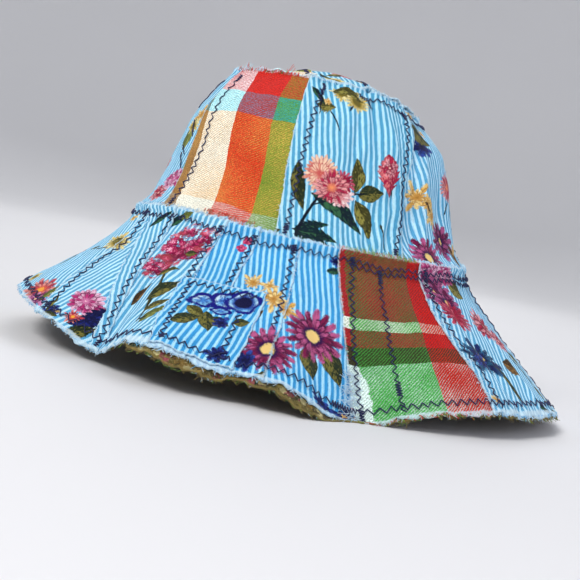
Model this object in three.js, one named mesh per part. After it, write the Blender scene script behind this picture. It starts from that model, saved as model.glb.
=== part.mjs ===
// A patchwork bucket hat with a wide, wavy brim, resting on its hem.
// Millimetres, +Z up, the front of the hat towards -Y, the wearer's left towards +X.
// Angles run round the hat from the front (0) by the wearer's left (90) to the back (180).
import * as THREE from 'three';

// Driving sizes
const SEAM_HEIGHT = 83; // of the seam between crown and brim, above the surface
const SEAM_HALF_LENGTH = 103; // of that seam's oval, front to back
const SEAM_HALF_WIDTH = 90;
const CROWN_HEIGHT = 90; // from that seam to the seam round the top
const TOP_RISE = 11; // of the domed top above its own seam
const CROWN_WALL = 1.6; // patchwork cloth and its backing
const BRIM_WALL = 1.2;
const FACING_WALL = 1.0; // the printed cloth under the brim
const SEAM_GAP = 0.3;
const FACING_GAP = 0.7;
const FACING_CLEAR = 1.0; // lowest that the facing comes to the surface
const FACING_SHARE = 0.965; // how far out the facing reaches, of the brim's length
const FACING_STEP = 0.03; // the narrowest that a row of its facets gets
const BRIM_TUCK = 5.5; // how far the brim drops straight before it flares
const BRIM_DROP = 3.0;
const BRIM_SHOULDER = 8.0;
const TINY_ANGLE = 0.2;
const TINY_SHARE = 0.004;

// The crown's side, from its lower seam up
const CROWN_PROFILE = [
  { height: 0, share: 1.0 },
  { height: 6, share: 0.945 },
  { height: 19, share: 0.885 },
  { height: 36, share: 0.835 },
  { height: 55, share: 0.775 },
  { height: 72, share: 0.69 },
  { height: 83, share: 0.61 },
  { height: 90, share: 0.545 },
];

// Soft dents (-) and swells (+) of the crown's side
const CROWN_DENTS = [
  { angle: 35, height: 70, halfAngle: 14, halfHeight: 14, push: 1.5 },
  { angle: 52, height: 30, halfAngle: 12, halfHeight: 22, push: -2.0 },
  { angle: 102, height: 34, halfAngle: 9, halfHeight: 26, push: -2.5 },
  { angle: 116, height: 50, halfAngle: 5, halfHeight: 30, push: 2.0 },
  { angle: 126, height: 30, halfAngle: 6, halfHeight: 24, push: -2.5 },
  { angle: 150, height: 30, halfAngle: 8, halfHeight: 20, push: -3.0 },
  { angle: 196, height: 45, halfAngle: 14, halfHeight: 26, push: -3.5 },
  { angle: 236, height: 30, halfAngle: 10, halfHeight: 22, push: 2.5 },
  { angle: 268, height: 52, halfAngle: 13, halfHeight: 24, push: -3.5 },
  { angle: 318, height: 34, halfAngle: 12, halfHeight: 26, push: -3.0 },
  { angle: 350, height: 26, halfAngle: 8, halfHeight: 18, push: 2.0 },
];

// The brim's length down its slope and the slope below level
const BRIM_STATIONS = [
  { angle: 0, length: 86, slope: 43 },
  { angle: 30, length: 90, slope: 45 },
  { angle: 60, length: 93, slope: 47 },
  { angle: 80, length: 94, slope: 46 },
  { angle: 98, length: 101, slope: 48 },
  { angle: 130, length: 97, slope: 46 },
  { angle: 165, length: 104, slope: 44 },
  { angle: 195, length: 107, slope: 46 },
  { angle: 230, length: 103, slope: 48 },
  { angle: 265, length: 100, slope: 48 },
  { angle: 300, length: 100, slope: 47 },
  { angle: 330, length: 94, slope: 46 },
];

// Waves of the brim: outward (+) or inward (-), from this share of its length to the hem
const BRIM_FOLDS = [
  { angle: 8, halfAngle: 16, rise: 5, from: 0.4 },
  { angle: 40, halfAngle: 7, rise: -12, from: 0.35 },
  { angle: 57, halfAngle: 10, rise: 13, from: 0.3 },
  { angle: 80, halfAngle: 8, rise: 4, from: 0.4 },
  { angle: 100, halfAngle: 10, rise: -13, from: 0.25 },
  { angle: 130, halfAngle: 12, rise: 6, from: 0.3 },
  { angle: 153, halfAngle: 12, rise: 3, from: 0.3 },
  { angle: 188, halfAngle: 11, rise: -10, from: 0.35 },
  { angle: 209, halfAngle: 10, rise: 6, from: 0.3 },
  { angle: 234, halfAngle: 12, rise: -12, from: 0.25 },
  { angle: 262, halfAngle: 13, rise: 8, from: 0.3 },
  { angle: 284, halfAngle: 9, rise: -4, from: 0.35 },
  { angle: 300, halfAngle: 9, rise: 5, from: 0.35 },
  { angle: 321, halfAngle: 10, rise: -16, from: 0.3 },
  { angle: 342, halfAngle: 9, rise: 3, from: 0.4 },
];

const CLOTHS = {
  ticking: { color: 0x86c4e2, roughness: 0.92, metalness: 0 },
  floral: { color: 0x8fbfd8, roughness: 0.92, metalness: 0 },
  madras: { color: 0xc9682f, roughness: 0.95, metalness: 0 },
  madras_brim: { color: 0x8c6a3c, roughness: 0.95, metalness: 0 },
  dark_print: { color: 0x5a4f2c, roughness: 0.95, metalness: 0 },
};

// Each seam's angle at five even steps up the crown. A patch starts at its own seam.
const CROWN_PATCHES = [
  { name: 'crown_front_patch', seam: [-22, -23, -25, -27, -30], columns: 8, cloth: 'floral' },
  { name: 'crown_madras_patch', seam: [25, 22, 15, 8, 4], columns: 9, cloth: 'madras' },
  { name: 'crown_mum_patch', seam: [71.5, 70, 68.5, 67.5, 66], columns: 9, cloth: 'floral' },
  { name: 'crown_back_patch', seam: [119.5, 124, 126.5, 134, 141], columns: 8, cloth: 'floral' },
  { name: 'crown_nape_patch', seam: [172, 172, 173, 174, 176], columns: 7, cloth: 'ticking' },
  { name: 'crown_far_back_patch', seam: [214, 213, 212, 210, 208], columns: 7, cloth: 'floral' },
  { name: 'crown_far_madras_patch', seam: [256, 257, 257, 256, 254], columns: 7, cloth: 'madras' },
  { name: 'crown_far_front_patch', seam: [300, 300, 301, 303, 306], columns: 7, cloth: 'ticking' },
];
const CROWN_ROWS = 8;

// Each seam's angle at five even steps from the crown out to the hem
const BRIM_PATCHES = [
  { name: 'brim_front_patch', seam: [-16, -15, -14, -14, -15], columns: 9, cloth: 'floral' },
  { name: 'brim_chevron_patch', seam: [15, 19.5, 22, 24, 25.5], columns: 5, cloth: 'floral' },
  { name: 'brim_wedge_patch', seam: [20, 26, 32, 36, 38], columns: 3, cloth: 'ticking' },
  { name: 'brim_hydrangea_patch', seam: [32.5, 34.5, 36.3, 38, 39.5], columns: 7, cloth: 'floral' },
  { name: 'brim_bud_patch', seam: [53.5, 51.5, 52, 54.5, 57], columns: 4, cloth: 'floral' },
  { name: 'brim_blossom_patch', seam: [65.5, 63.5, 63, 63, 63], columns: 5, cloth: 'floral' },
  { name: 'brim_aster_patch', seam: [79, 79, 78.7, 77.5, 77], columns: 8, cloth: 'floral' },
  { name: 'brim_madras_patch', seam: [94.5, 95.5, 97, 101, 104], columns: 8, cloth: 'madras_brim' },
  { name: 'brim_back_patch', seam: [127, 126.5, 128, 129.3, 127.5], columns: 8, cloth: 'floral' },
  { name: 'brim_nape_patch', seam: [160, 161, 161, 160, 159], columns: 7, cloth: 'ticking' },
  { name: 'brim_nape_madras_patch', seam: [187, 186, 186, 187, 188], columns: 7, cloth: 'madras_brim' },
  { name: 'brim_far_back_patch', seam: [214, 214, 213, 212, 212], columns: 9, cloth: 'floral' },
  { name: 'brim_far_ticking_patch', seam: [247, 246, 246, 247, 248], columns: 7, cloth: 'ticking' },
  { name: 'brim_far_madras_patch', seam: [275, 276, 276, 275, 274], columns: 8, cloth: 'madras_brim' },
  { name: 'brim_far_floral_patch', seam: [303, 303, 304, 304, 305], columns: 7, cloth: 'floral' },
  { name: 'brim_far_front_patch', seam: [326, 326, 327, 328, 329], columns: 5, cloth: 'ticking' },
];
// How far out the rows of the brim's facets lie, closer together at the bend by the crown
const BRIM_ROWS = [0, 0.05, 0.12, 0.25, 0.41, 0.56, 0.7, 0.83, 0.955, 1];

// The square patch sewn over the joins at the wearer's front left
const PANSY_PATCH = { left: [50.5, 57], right: [74.7, 73], from: 0.4, to: 0.96, columns: 8, rows: 6 };

// Sectors of the cloth under the brim
const FACING_SECTORS = [
  { name: 'facing_front', angle: -30, columns: 22 },
  { name: 'facing_near_front', angle: 36, columns: 18 },
  { name: 'facing_near', angle: 90, columns: 14 },
  { name: 'facing_back', angle: 150, columns: 14 },
  { name: 'facing_far_back', angle: 210, columns: 15 },
  { name: 'facing_far_front', angle: 272, columns: 15 },
];

// The top is three strips across the head. y counts from the hat's axis, the back being +.
const TOP_STRIPS = [
  { name: 'top_front_patch', from: -1, to: -0.3, columns: 8, rows: 5, cloth: 'madras' },
  { name: 'top_middle_patch', from: -0.3, to: 0.35, columns: 9, rows: 4, cloth: 'floral' },
  { name: 'top_back_patch', from: 0.35, to: 1, columns: 8, rows: 5, cloth: 'ticking' },
];

const radians = THREE.MathUtils.degToRad;
const smoothstep = THREE.MathUtils.smoothstep;

function angleBetween(a, b) {
  return THREE.MathUtils.euclideanModulo(a - b + 180, 360) - 180;
}

// A smooth curve through a table's rows, read at one place
function curve(table, place, column, at) {
  const last = table.length - 1;
  let row = 0;
  while (row < last - 1 && at >= table[row + 1][place]) row += 1;
  const step = (i) => {
    const low = table[Math.max(0, Math.min(last - 1, i))];
    const high = table[Math.max(0, Math.min(last - 1, i)) + 1];
    return (high[column] - low[column]) / (high[place] - low[place]);
  };
  const start = table[row];
  const end = table[row + 1];
  const span = end[place] - start[place];
  const share = THREE.MathUtils.clamp((at - start[place]) / span, 0, 1);
  const slopeIn = row === 0 ? step(0) : (step(row - 1) + step(row)) / 2;
  const slopeOut = row === last - 1 ? step(row) : (step(row) + step(row + 1)) / 2;
  const rest = 1 - share;
  return start[column] * (1 + 2 * share) * rest * rest
    + end[column] * share * share * (3 - 2 * share)
    + span * (slopeIn * share * rest * rest - slopeOut * share * share * rest);
}

// The same, for a table that goes once round the hat
function curveRound(table, column, angle) {
  const before = table.slice(-2).map((row) => ({ ...row, angle: row.angle - 360 }));
  const after = table.slice(0, 2).map((row) => ({ ...row, angle: row.angle + 360 }));
  const round = [...before, ...table, ...after];
  return curve(round, 'angle', column, THREE.MathUtils.euclideanModulo(angle, 360));
}

function ovalRadius(angle) {
  const a = radians(angle);
  return 1 / Math.hypot(Math.sin(a) / SEAM_HALF_WIDTH, Math.cos(a) / SEAM_HALF_LENGTH);
}

function place(radius, angle, height) {
  const a = radians(angle);
  return new THREE.Vector3(radius * Math.sin(a), -radius * Math.cos(a), height);
}

// The outer face of the crown's side, share 0 at the lower seam and 1 at the top seam
function crownSurface(angle, share) {
  const height = share * CROWN_HEIGHT;
  let radius = ovalRadius(angle) * curve(CROWN_PROFILE, 'height', 'share', height);
  for (const dent of CROWN_DENTS) {
    const across = angleBetween(angle, dent.angle) / dent.halfAngle;
    const up = (height - dent.height) / dent.halfHeight;
    radius += dent.push * Math.exp(-across * across - up * up);
  }
  return place(radius, angle, SEAM_HEIGHT + height);
}

// The outer face of the brim, share 0 at the crown's seam and 1 at the hem
function brimSurface(angle, share) {
  const length = share * curveRound(BRIM_STATIONS, 'length', angle);
  const slope = radians(curveRound(BRIM_STATIONS, 'slope', angle));
  const bend = 1 - Math.exp(-length / BRIM_SHOULDER);
  let radius = ovalRadius(angle) + length * Math.cos(slope) - BRIM_TUCK * bend;
  let height = SEAM_HEIGHT - length * Math.sin(slope) - BRIM_DROP * bend;
  let rise = 0;
  for (const fold of BRIM_FOLDS) {
    const across = angleBetween(angle, fold.angle) / fold.halfAngle;
    rise += fold.rise * Math.exp(-across * across) * smoothstep(share, fold.from, 1);
  }
  radius += rise * Math.sin(slope);
  height += rise * Math.cos(slope);
  return place(radius, angle, height);
}

// The way out of a surface, whose second measure runs up (+1) or down (-1)
function outward(surface, angle, share, way) {
  const low = Math.max(0, share - TINY_SHARE);
  const high = Math.min(1, share + TINY_SHARE);
  const along = surface(angle + TINY_ANGLE, share).sub(surface(angle - TINY_ANGLE, share));
  const up = surface(angle, high).sub(surface(angle, low));
  return along.cross(up).multiplyScalar(way).normalize();
}

// The brim's cloth at a depth below its outer face, laid flat where it meets the surface
function brimPoint(angle, share, depth) {
  const point = brimSurface(angle, share);
  const out = outward(brimSurface, angle, share, -1);
  if (share === 0) {
    out.setZ(0).normalize();
    point.z -= SEAM_GAP / 2;
  }
  point.addScaledVector(out, -depth);
  point.z = Math.max(point.z, BRIM_WALL - Math.min(depth, BRIM_WALL));
  return point;
}

function crownPoint(angle, share, depth) {
  const point = crownSurface(angle, share);
  const out = outward(crownSurface, angle, share, 1);
  if (share === 0 || share === CROWN_END) out.setZ(0).normalize();
  if (share === 0) point.z += SEAM_GAP / 2;
  return point.addScaledVector(out, -depth);
}
const CROWN_END = 1 - (CROWN_WALL + SEAM_GAP) / CROWN_HEIGHT;

// A closed wall between two grids of points: columns across, rows up, outer face first
function shell(columns, rows, outer, inner) {
  const positions = [];
  const points = { outer: [], inner: [] };
  for (let row = 0; row <= rows; row += 1) {
    points.outer.push([]);
    points.inner.push([]);
    for (let column = 0; column <= columns; column += 1) {
      points.outer[row].push(outer(column / columns, row / rows));
      points.inner[row].push(inner(column / columns, row / rows));
    }
  }
  const triangle = (a, b, c) => {
    if (a.equals(b) || b.equals(c) || c.equals(a)) return;
    for (const corner of [a, b, c]) positions.push(corner.x, corner.y, corner.z);
  };
  const face = (a, b, c, d) => {
    triangle(a, b, c);
    triangle(a, c, d);
  };
  for (let row = 0; row < rows; row += 1) {
    for (let column = 0; column < columns; column += 1) {
      const o = points.outer;
      const i = points.inner;
      face(o[row][column], o[row][column + 1], o[row + 1][column + 1], o[row + 1][column]);
      face(i[row][column], i[row + 1][column], i[row + 1][column + 1], i[row][column + 1]);
    }
  }
  const edge = (a, b) => {
    face(points.outer[a[0]][a[1]], points.inner[a[0]][a[1]], points.inner[b[0]][b[1]], points.outer[b[0]][b[1]]);
  };
  for (let column = 0; column < columns; column += 1) {
    edge([0, column], [0, column + 1]);
    edge([rows, column + 1], [rows, column]);
  }
  for (let row = 0; row < rows; row += 1) {
    edge([row + 1, 0], [row, 0]);
    edge([row, columns], [row + 1, columns]);
  }
  const geometry = new THREE.BufferGeometry();
  geometry.setAttribute('position', new THREE.Float32BufferAttribute(positions, 3));
  geometry.computeVertexNormals();
  return geometry;
}

const hat = new THREE.Group();

function addPiece(name, geometry, cloth) {
  const mesh = new THREE.Mesh(geometry, new THREE.MeshStandardMaterial(CLOTHS[cloth]));
  mesh.name = name;
  hat.add(mesh);
}

// A seam's angle, from its five even steps
function seamAngle(seam, share) {
  const steps = seam.length - 1;
  const step = Math.min(steps - 1, Math.floor(share * steps));
  return THREE.MathUtils.lerp(seam[step], seam[step + 1], share * steps - step);
}

// The angle at a share of the way over a patch, half a gap clear of both its seams
function angleAcross(left, right, share, across, radius) {
  const gap = THREE.MathUtils.radToDeg(SEAM_GAP / 2 / radius);
  const start = seamAngle(left, share) + gap;
  const end = seamAngle(right, share) - gap;
  return THREE.MathUtils.lerp(start, end, across);
}

function nextSeam(patches, index) {
  const turn = index === patches.length - 1 ? 360 : 0;
  return patches[(index + 1) % patches.length].seam.map((angle) => angle + turn);
}

function addCrown() {
  CROWN_PATCHES.forEach((patch, index) => {
    const right = nextSeam(CROWN_PATCHES, index);
    const at = (depth) => (across, up) => {
      const share = up * CROWN_END;
      const radius = ovalRadius(patch.seam[0]) * curve(CROWN_PROFILE, 'height', 'share', share * CROWN_HEIGHT);
      return crownPoint(angleAcross(patch.seam, right, share, across, radius), share, depth);
    };
    addPiece(patch.name, shell(patch.columns, CROWN_ROWS, at(0), at(CROWN_WALL)), patch.cloth);
  });
}

function addTop() {
  const rim = CROWN_PROFILE[CROWN_PROFILE.length - 1].share;
  const halfLength = SEAM_HALF_LENGTH * rim;
  const halfWidth = SEAM_HALF_WIDTH * rim;
  for (const strip of TOP_STRIPS) {
    const at = (lift) => (across, along) => {
      const start = strip.from === -1 ? -1 : strip.from + SEAM_GAP / 2 / halfLength;
      const end = strip.to === 1 ? 1 : strip.to - SEAM_GAP / 2 / halfLength;
      const turn = THREE.MathUtils.lerp(Math.asin(start), Math.asin(end), along);
      const x = (2 * across - 1) * Math.cos(turn);
      const y = Math.sin(turn);
      const rise = TOP_RISE * (1 - x * x - y * y) + lift;
      return new THREE.Vector3(x * halfWidth, y * halfLength, SEAM_HEIGHT + CROWN_HEIGHT + rise);
    };
    addPiece(strip.name, shell(strip.columns, strip.rows, at(0), at(-CROWN_WALL)), strip.cloth);
  }
}

function addBrim() {
  const rows = BRIM_ROWS.length - 1;
  BRIM_PATCHES.forEach((patch, index) => {
    const right = nextSeam(BRIM_PATCHES, index);
    const at = (depth) => (across, up) => {
      const share = BRIM_ROWS[Math.round((1 - up) * rows)];
      const radius = ovalRadius(patch.seam[0]);
      return brimPoint(angleAcross(patch.seam, right, share, across, radius), share, depth);
    };
    addPiece(patch.name, shell(patch.columns, rows, at(0), at(BRIM_WALL)), patch.cloth);
  });
}

function addPansyPatch() {
  const { left, right, from, to, columns, rows } = PANSY_PATCH;
  const at = (depth) => (across, up) => {
    const share = THREE.MathUtils.lerp(to, from, up);
    const start = THREE.MathUtils.lerp(left[1], left[0], up);
    const end = THREE.MathUtils.lerp(right[1], right[0], up);
    return brimPoint(THREE.MathUtils.lerp(start, end, across), share, depth);
  };
  const bottom = -FACING_GAP;
  addPiece('pansy_patch', shell(columns, rows, at(bottom - BRIM_WALL), at(bottom)), 'floral');
}

// The facing stops short of the hem, and shorter where the hem lies on the surface
function facingReach(angle, depth) {
  let share = FACING_SHARE;
  while (brimPoint(angle, share, 0).z < depth + FACING_CLEAR) share -= 0.01;
  return share;
}

function addFacing() {
  const top = BRIM_WALL + FACING_GAP;
  const depth = top + FACING_WALL;
  const rows = BRIM_ROWS.length - 2;
  FACING_SECTORS.forEach((sector, index) => {
    const next = FACING_SECTORS[index + 1] ?? { angle: FACING_SECTORS[0].angle + 360 };
    const gap = THREE.MathUtils.radToDeg(SEAM_GAP / 2 / SEAM_HALF_WIDTH);
    const at = (down) => (across, up) => {
      const angle = THREE.MathUtils.lerp(sector.angle + gap, next.angle - gap, across);
      const row = Math.round((1 - up) * rows) + 1;
      const reach = facingReach(angle, depth);
      const share = Math.min(BRIM_ROWS[row], reach - (rows + 1 - row) * FACING_STEP);
      return brimPoint(angle, share, down);
    };
    addPiece(sector.name, shell(sector.columns, rows, at(top), at(depth)), 'dark_print');
  });
}

addCrown();
addTop();
addBrim();
addPansyPatch();
addFacing();

// The origin is under the middle of the hat's outline, on the surface
const box = new THREE.Box3().setFromObject(hat);
const middle = box.getCenter(new THREE.Vector3());
hat.position.set(-middle.x, -middle.y, -box.min.z);

export default hat;
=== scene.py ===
import math
import random

import bmesh
import bpy
import numpy as np
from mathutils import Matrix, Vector


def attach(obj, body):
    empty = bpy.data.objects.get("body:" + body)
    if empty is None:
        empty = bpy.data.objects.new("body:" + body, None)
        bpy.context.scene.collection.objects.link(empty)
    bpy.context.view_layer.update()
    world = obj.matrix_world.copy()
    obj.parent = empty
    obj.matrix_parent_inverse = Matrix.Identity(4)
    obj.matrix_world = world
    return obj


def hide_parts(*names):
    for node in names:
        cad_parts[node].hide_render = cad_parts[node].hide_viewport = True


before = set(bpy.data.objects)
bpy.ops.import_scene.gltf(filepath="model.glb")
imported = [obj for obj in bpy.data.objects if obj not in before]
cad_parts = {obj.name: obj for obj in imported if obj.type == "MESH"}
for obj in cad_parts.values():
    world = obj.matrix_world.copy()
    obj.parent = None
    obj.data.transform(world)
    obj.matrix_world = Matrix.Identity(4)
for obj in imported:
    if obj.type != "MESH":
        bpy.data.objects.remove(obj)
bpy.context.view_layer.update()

# A patchwork bucket hat, resting on its hem. Sizes are in millimetres and angles in degrees.
# Angles run round the hat from its front (0) by the wearer's left (90) to its back (180).
# A share runs up the crown from its lower seam (0) to the top seam (1), and down the brim
# from the crown (0) to the hem (1). Past these ends lie the raw edges beyond the seams.
MM = 0.001
AXIS_X, AXIS_Y = 2.58, -3.59  # the hat's own axis, from the middle of its outline
SEAM_HEIGHT = 83.0
SEAM_HALF_LENGTH = 103.0
SEAM_HALF_WIDTH = 90.0
CROWN_HEIGHT = 90.0
TOP_RISE = 11.0
TOP_INSET = 0.972  # the top's cloth turns up just inside the crown's
TOP_TURN_UP = 3.4
TOP_HALF_WIDTH, TOP_HALF_LENGTH = 48.0, 55.0
BRIM_LENGTH = 100.0  # about, from the crown to the hem
BRIM_TUCK, BRIM_DROP = 5.5, 3.0  # how far the brim turns in and down below its seam
BRIM_SHOULDER = 8.0  # the length that this turn takes
CLOTH = 0.75  # thickness of one layer with its seam allowance
FACING_DEPTH = 2.1  # of the facing below the patches
EDGE_LIFT, EDGE_UNDER = 0.55, 0.35  # of a patch's edge that lies over or under the next
EDGE_WIDTH = 5.0
UNDERLAP = 4.0  # how far the edge below runs under the edge above
BRIM_OVER_CROWN = 1.3  # raw edge of the brim above its seam
BRIM_TOP_LIFT = 0.7
RIDGE = 2.6  # raw edge of the crown above its top seam
RIDGE_RISE, RIDGE_LEAN = 0.95, 0.35  # of each mm of that edge
GRID = 1.35  # from point to point of the patches' meshes

# height, share of the oval
CROWN_PROFILE = [
    (0, 1.0), (6, 0.945), (19, 0.885), (36, 0.835), (55, 0.775), (72, 0.69), (83, 0.61), (90, 0.545),
]

# angle, height, half angle, half height, push
CROWN_DENTS = [
    (35, 70, 14, 14, 1.5), (52, 30, 12, 22, -2.0), (102, 34, 9, 26, -2.5), (116, 50, 5, 30, 2.0),
    (126, 30, 6, 24, -2.5), (150, 30, 8, 20, -3.0), (196, 45, 14, 26, -3.5), (236, 30, 10, 22, 2.5),
    (268, 52, 13, 24, -3.5), (318, 34, 12, 26, -3.0), (350, 26, 8, 18, 2.0),
    (4, 70, 30, 15, 2.2), (8, 94, 24, 13, 4.2), (168, 74, 30, 13, 3.0),
]
SLUMP_ANGLE, SLUMP_HALF, SLUMP = 165, 36, 8.0  # the crown's top sinks towards the back, in mm
# The seam between crown and brim rides up at the wearer's front left
HITCH_ANGLE, HITCH_HALF, HITCH = 36, 30, 4.2

# angle, length, slope
BRIM_STATIONS = [
    (0, 86, 43), (30, 90, 45), (60, 93, 47), (80, 93, 46), (98, 98, 48), (112, 95, 48), (130, 97, 46),
    (165, 104, 44), (195, 107, 46), (230, 103, 48), (265, 100, 48), (300, 100, 47), (330, 94, 46),
]

# angle, half angle, rise, share that it starts from
BRIM_FOLDS = [
    (8, 16, 5, 0.4), (40, 7, -12, 0.35), (57, 10, 13, 0.3), (80, 8, 4, 0.4), (100, 10, -13, 0.25),
    (130, 12, 6, 0.3), (153, 12, 3, 0.3), (188, 11, -10, 0.35), (209, 10, 6, 0.3),
    (234, 12, -12, 0.25), (262, 13, 8, 0.3), (284, 9, -4, 0.35), (300, 9, 5, 0.35),
    (321, 10, -16, 0.3), (342, 9, 3, 0.4),
]

# Creases in the crown: angle at its low end, angle at its high end, low and high share,
# half width in mm, depth in mm
CROWN_CREASES = [
    (104, 112, 0.0, 0.36, 2.6, -2.2), (109, 116, 0.0, 0.30, 2.0, 1.8), (113, 119, 0.0, 0.62, 2.4, -2.3),
    (120, 118, 0.02, 0.8, 2.4, 1.6), (127, 133, 0.04, 0.75, 2.4, -2.0), (133, 139, 0.1, 0.7, 2.2, 1.5),
    (97, 101, 0.5, 0.98, 2.4, -1.5), (103, 106, 0.6, 1.0, 2.2, 1.3), (110, 108, 0.5, 1.0, 2.4, -2.0),
    (102, 105, 0.2, 0.62, 2.6, -1.3), (60, 55, 0.05, 0.6, 5.0, -1.3), (37, 33, 0.5, 0.95, 4.0, -1.2),
    (41, 38, 0.02, 0.8, 5.0, 0.9), (150, 154, 0.0, 0.6, 2.4, -1.4), (176, 182, 0.0, 0.5, 2.6, -1.2),
    (205, 198, 0.1, 0.9, 3.0, 1.2), (246, 240, 0.0, 0.6, 2.4, -1.3), (283, 290, 0.0, 0.7, 2.6, -1.2),
    (322, 316, 0.1, 0.8, 2.6, 1.2), (344, 350, 0.0, 0.5, 2.2, -1.2),
]

# Creases in the brim, the same way
BRIM_CREASES = [
    (43, 40, 0.15, 0.95, 3.0, -1.6), (47, 46, 0.3, 0.98, 3.0, 1.2), (58, 52, 0.1, 0.5, 3.0, -1.0),
    (72, 75, 0.5, 1.0, 3.0, -1.0), (88, 92, 0.45, 1.0, 4.0, -1.2), (119, 116, 0.3, 1.0, 4.5, 1.0),
    (137, 139, 0.2, 1.0, 3.0, -1.3), (150, 148, 0.3, 1.0, 3.0, 1.2), (176, 173, 0.2, 1.0, 3.0, -1.2),
    (199, 203, 0.2, 1.0, 3.0, 1.2), (222, 219, 0.2, 1.0, 3.0, -1.2), (252, 255, 0.2, 1.0, 3.0, -1.2),
    (290, 288, 0.2, 1.0, 3.0, -1.1), (312, 309, 0.2, 1.0, 3.0, 1.1), (352, 354, 0.3, 1.0, 4.0, -0.9),
]


def dye(red, green, blue):
    """A colour as the eye reads it, 0 to 255, made linear"""
    def linear(value):
        part = value / 255
        return part / 12.92 if part <= 0.04045 else ((part + 0.055) / 1.055) ** 2.4
    return (linear(red), linear(green), linear(blue), 1.0)


# Shape

def curve(table, column, at, turn=0.0):
    """A smooth curve through one column of a table whose rows start with their place"""
    rows = np.array(table, float)
    if turn:
        shift = np.zeros(rows.shape[1])
        shift[0] = turn
        rows = np.vstack([rows[-2:] - shift, rows, rows[:2] + shift])
        at = np.mod(at, turn)
    place_at, value = rows[:, 0], rows[:, column]
    slope = np.diff(value) / np.diff(place_at)
    slope = np.concatenate([slope[:1], (slope[:-1] + slope[1:]) / 2, slope[-1:]])
    row = np.clip(np.searchsorted(place_at, at, side="right") - 1, 0, len(place_at) - 2)
    span = place_at[row + 1] - place_at[row]
    part = np.clip((at - place_at[row]) / span, 0, 1)
    rest = 1 - part
    return (value[row] * (1 + 2 * part) * rest**2 + value[row + 1] * part**2 * (3 - 2 * part)
            + span * part * rest * (slope[row] * rest - slope[row + 1] * part))


def between(a, b):
    """The angle from b to a, from -180 to 180"""
    return (a - b + 180) % 360 - 180


def smooth(low, high, value):
    part = np.clip((value - low) / (high - low), 0, 1)
    return part * part * (3 - 2 * part)


def runs_along(line):
    """How far along a line each of its points lies"""
    return np.concatenate([[0], np.cumsum(np.linalg.norm(np.diff(line, axis=0), axis=1))])


def from_axis(point):
    return np.hypot(point[..., 0] - AXIS_X, point[..., 1] - AXIS_Y)


def waves(run, rows):
    """Sines added up, each with its height, its length over tau and its shift"""
    return sum(height * np.sin(run / length + shift) for height, length, shift in rows)


def oval(angle):
    a = np.radians(angle)
    return 1 / np.hypot(np.sin(a) / SEAM_HALF_WIDTH, np.cos(a) / SEAM_HALF_LENGTH)


def place(radius, angle, height):
    a = np.radians(angle)
    return np.stack([AXIS_X + radius * np.sin(a), AXIS_Y - radius * np.cos(a), height], -1)


def dented(angle, height):
    total = 0
    for at, up, half_angle, half_height, push in CROWN_DENTS:
        across = between(angle, at) / half_angle
        total = total + push * np.exp(-across**2 - ((height - up) / half_height)**2)
    return total


def slump(angle, share):
    return SLUMP * np.exp(-(between(angle, SLUMP_ANGLE) / SLUMP_HALF)**2) * smooth(0.5, 1, share)


def hitch(angle, share):
    """How far the seam between crown and brim is drawn up"""
    near = np.exp(-(between(angle, HITCH_ANGLE) / HITCH_HALF)**2)
    return HITCH * near * smooth(0.45, 0.0, np.abs(share))


def crown_surface(angle, share):
    height = np.clip(share, 0, 1) * CROWN_HEIGHT
    radius = oval(angle) * curve(CROWN_PROFILE, 1, height) + dented(angle, height)
    past = np.maximum(share - 1, 0) * CROWN_HEIGHT
    height = SEAM_HEIGHT + height + past * RIDGE_RISE - slump(angle, share) + hitch(angle, share)
    return place(radius - past * RIDGE_LEAN, angle, height)


def brim_surface(angle, share):
    length = np.maximum(share, 0) * curve(BRIM_STATIONS, 1, angle, 360)
    slope = np.radians(curve(BRIM_STATIONS, 2, angle, 360))
    bend = 1 - np.exp(-length / BRIM_SHOULDER)
    rise = 0
    for at, half_angle, up, start in BRIM_FOLDS:
        rise = rise + up * np.exp(-(between(angle, at) / half_angle)**2) * smooth(start, 1, share)
    radius = oval(angle) + length * np.cos(slope) - BRIM_TUCK * bend + rise * np.sin(slope)
    height = SEAM_HEIGHT - length * np.sin(slope) - BRIM_DROP * bend + rise * np.cos(slope)
    height = height + hitch(angle, share)
    over = crown_surface(angle, np.maximum(-share, 0) * BRIM_LENGTH / CROWN_HEIGHT)
    return np.where((share < 0)[..., None], over, place(radius, angle, height))


def top_surface(across, along):
    """The top, across from -1 to 1 and along from the front (-1) to the back (1)"""
    out = np.hypot(across, along)
    x, y = across * SEAM_HALF_WIDTH, along * SEAM_HALF_LENGTH
    angle = np.degrees(np.arctan2(x, -y))
    lift = TOP_RISE * (1 - out**2) + TOP_TURN_UP * smooth(0.95, 1.0, out) - slump(angle, 1.0) * out**2
    rim = CROWN_PROFILE[-1][1] * TOP_INSET + dented(angle, CROWN_HEIGHT) * out / oval(angle)
    return np.stack([AXIS_X + x * rim, AXIS_Y + y * rim, SEAM_HEIGHT + CROWN_HEIGHT + lift], -1)


STEP_ANGLE, STEP_SHARE, STEP_TOP = 0.3, 0.006, 0.01  # small steps that find a surface's way out


def outward(surface, a, b, step_a, step_b, way):
    """The way out of a surface at each of its points"""
    along = surface(a + step_a, b) - surface(a - step_a, b)
    up = surface(a, b + step_b) - surface(a, b - step_b)
    out = np.cross(along, up) * way
    return out / np.linalg.norm(out, axis=-1, keepdims=True)


WAVES, WAVE_PEAK = 7, 3.8  # how many waves are added, and about how high they come
WAVE_RADIUS = 105.0


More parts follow.
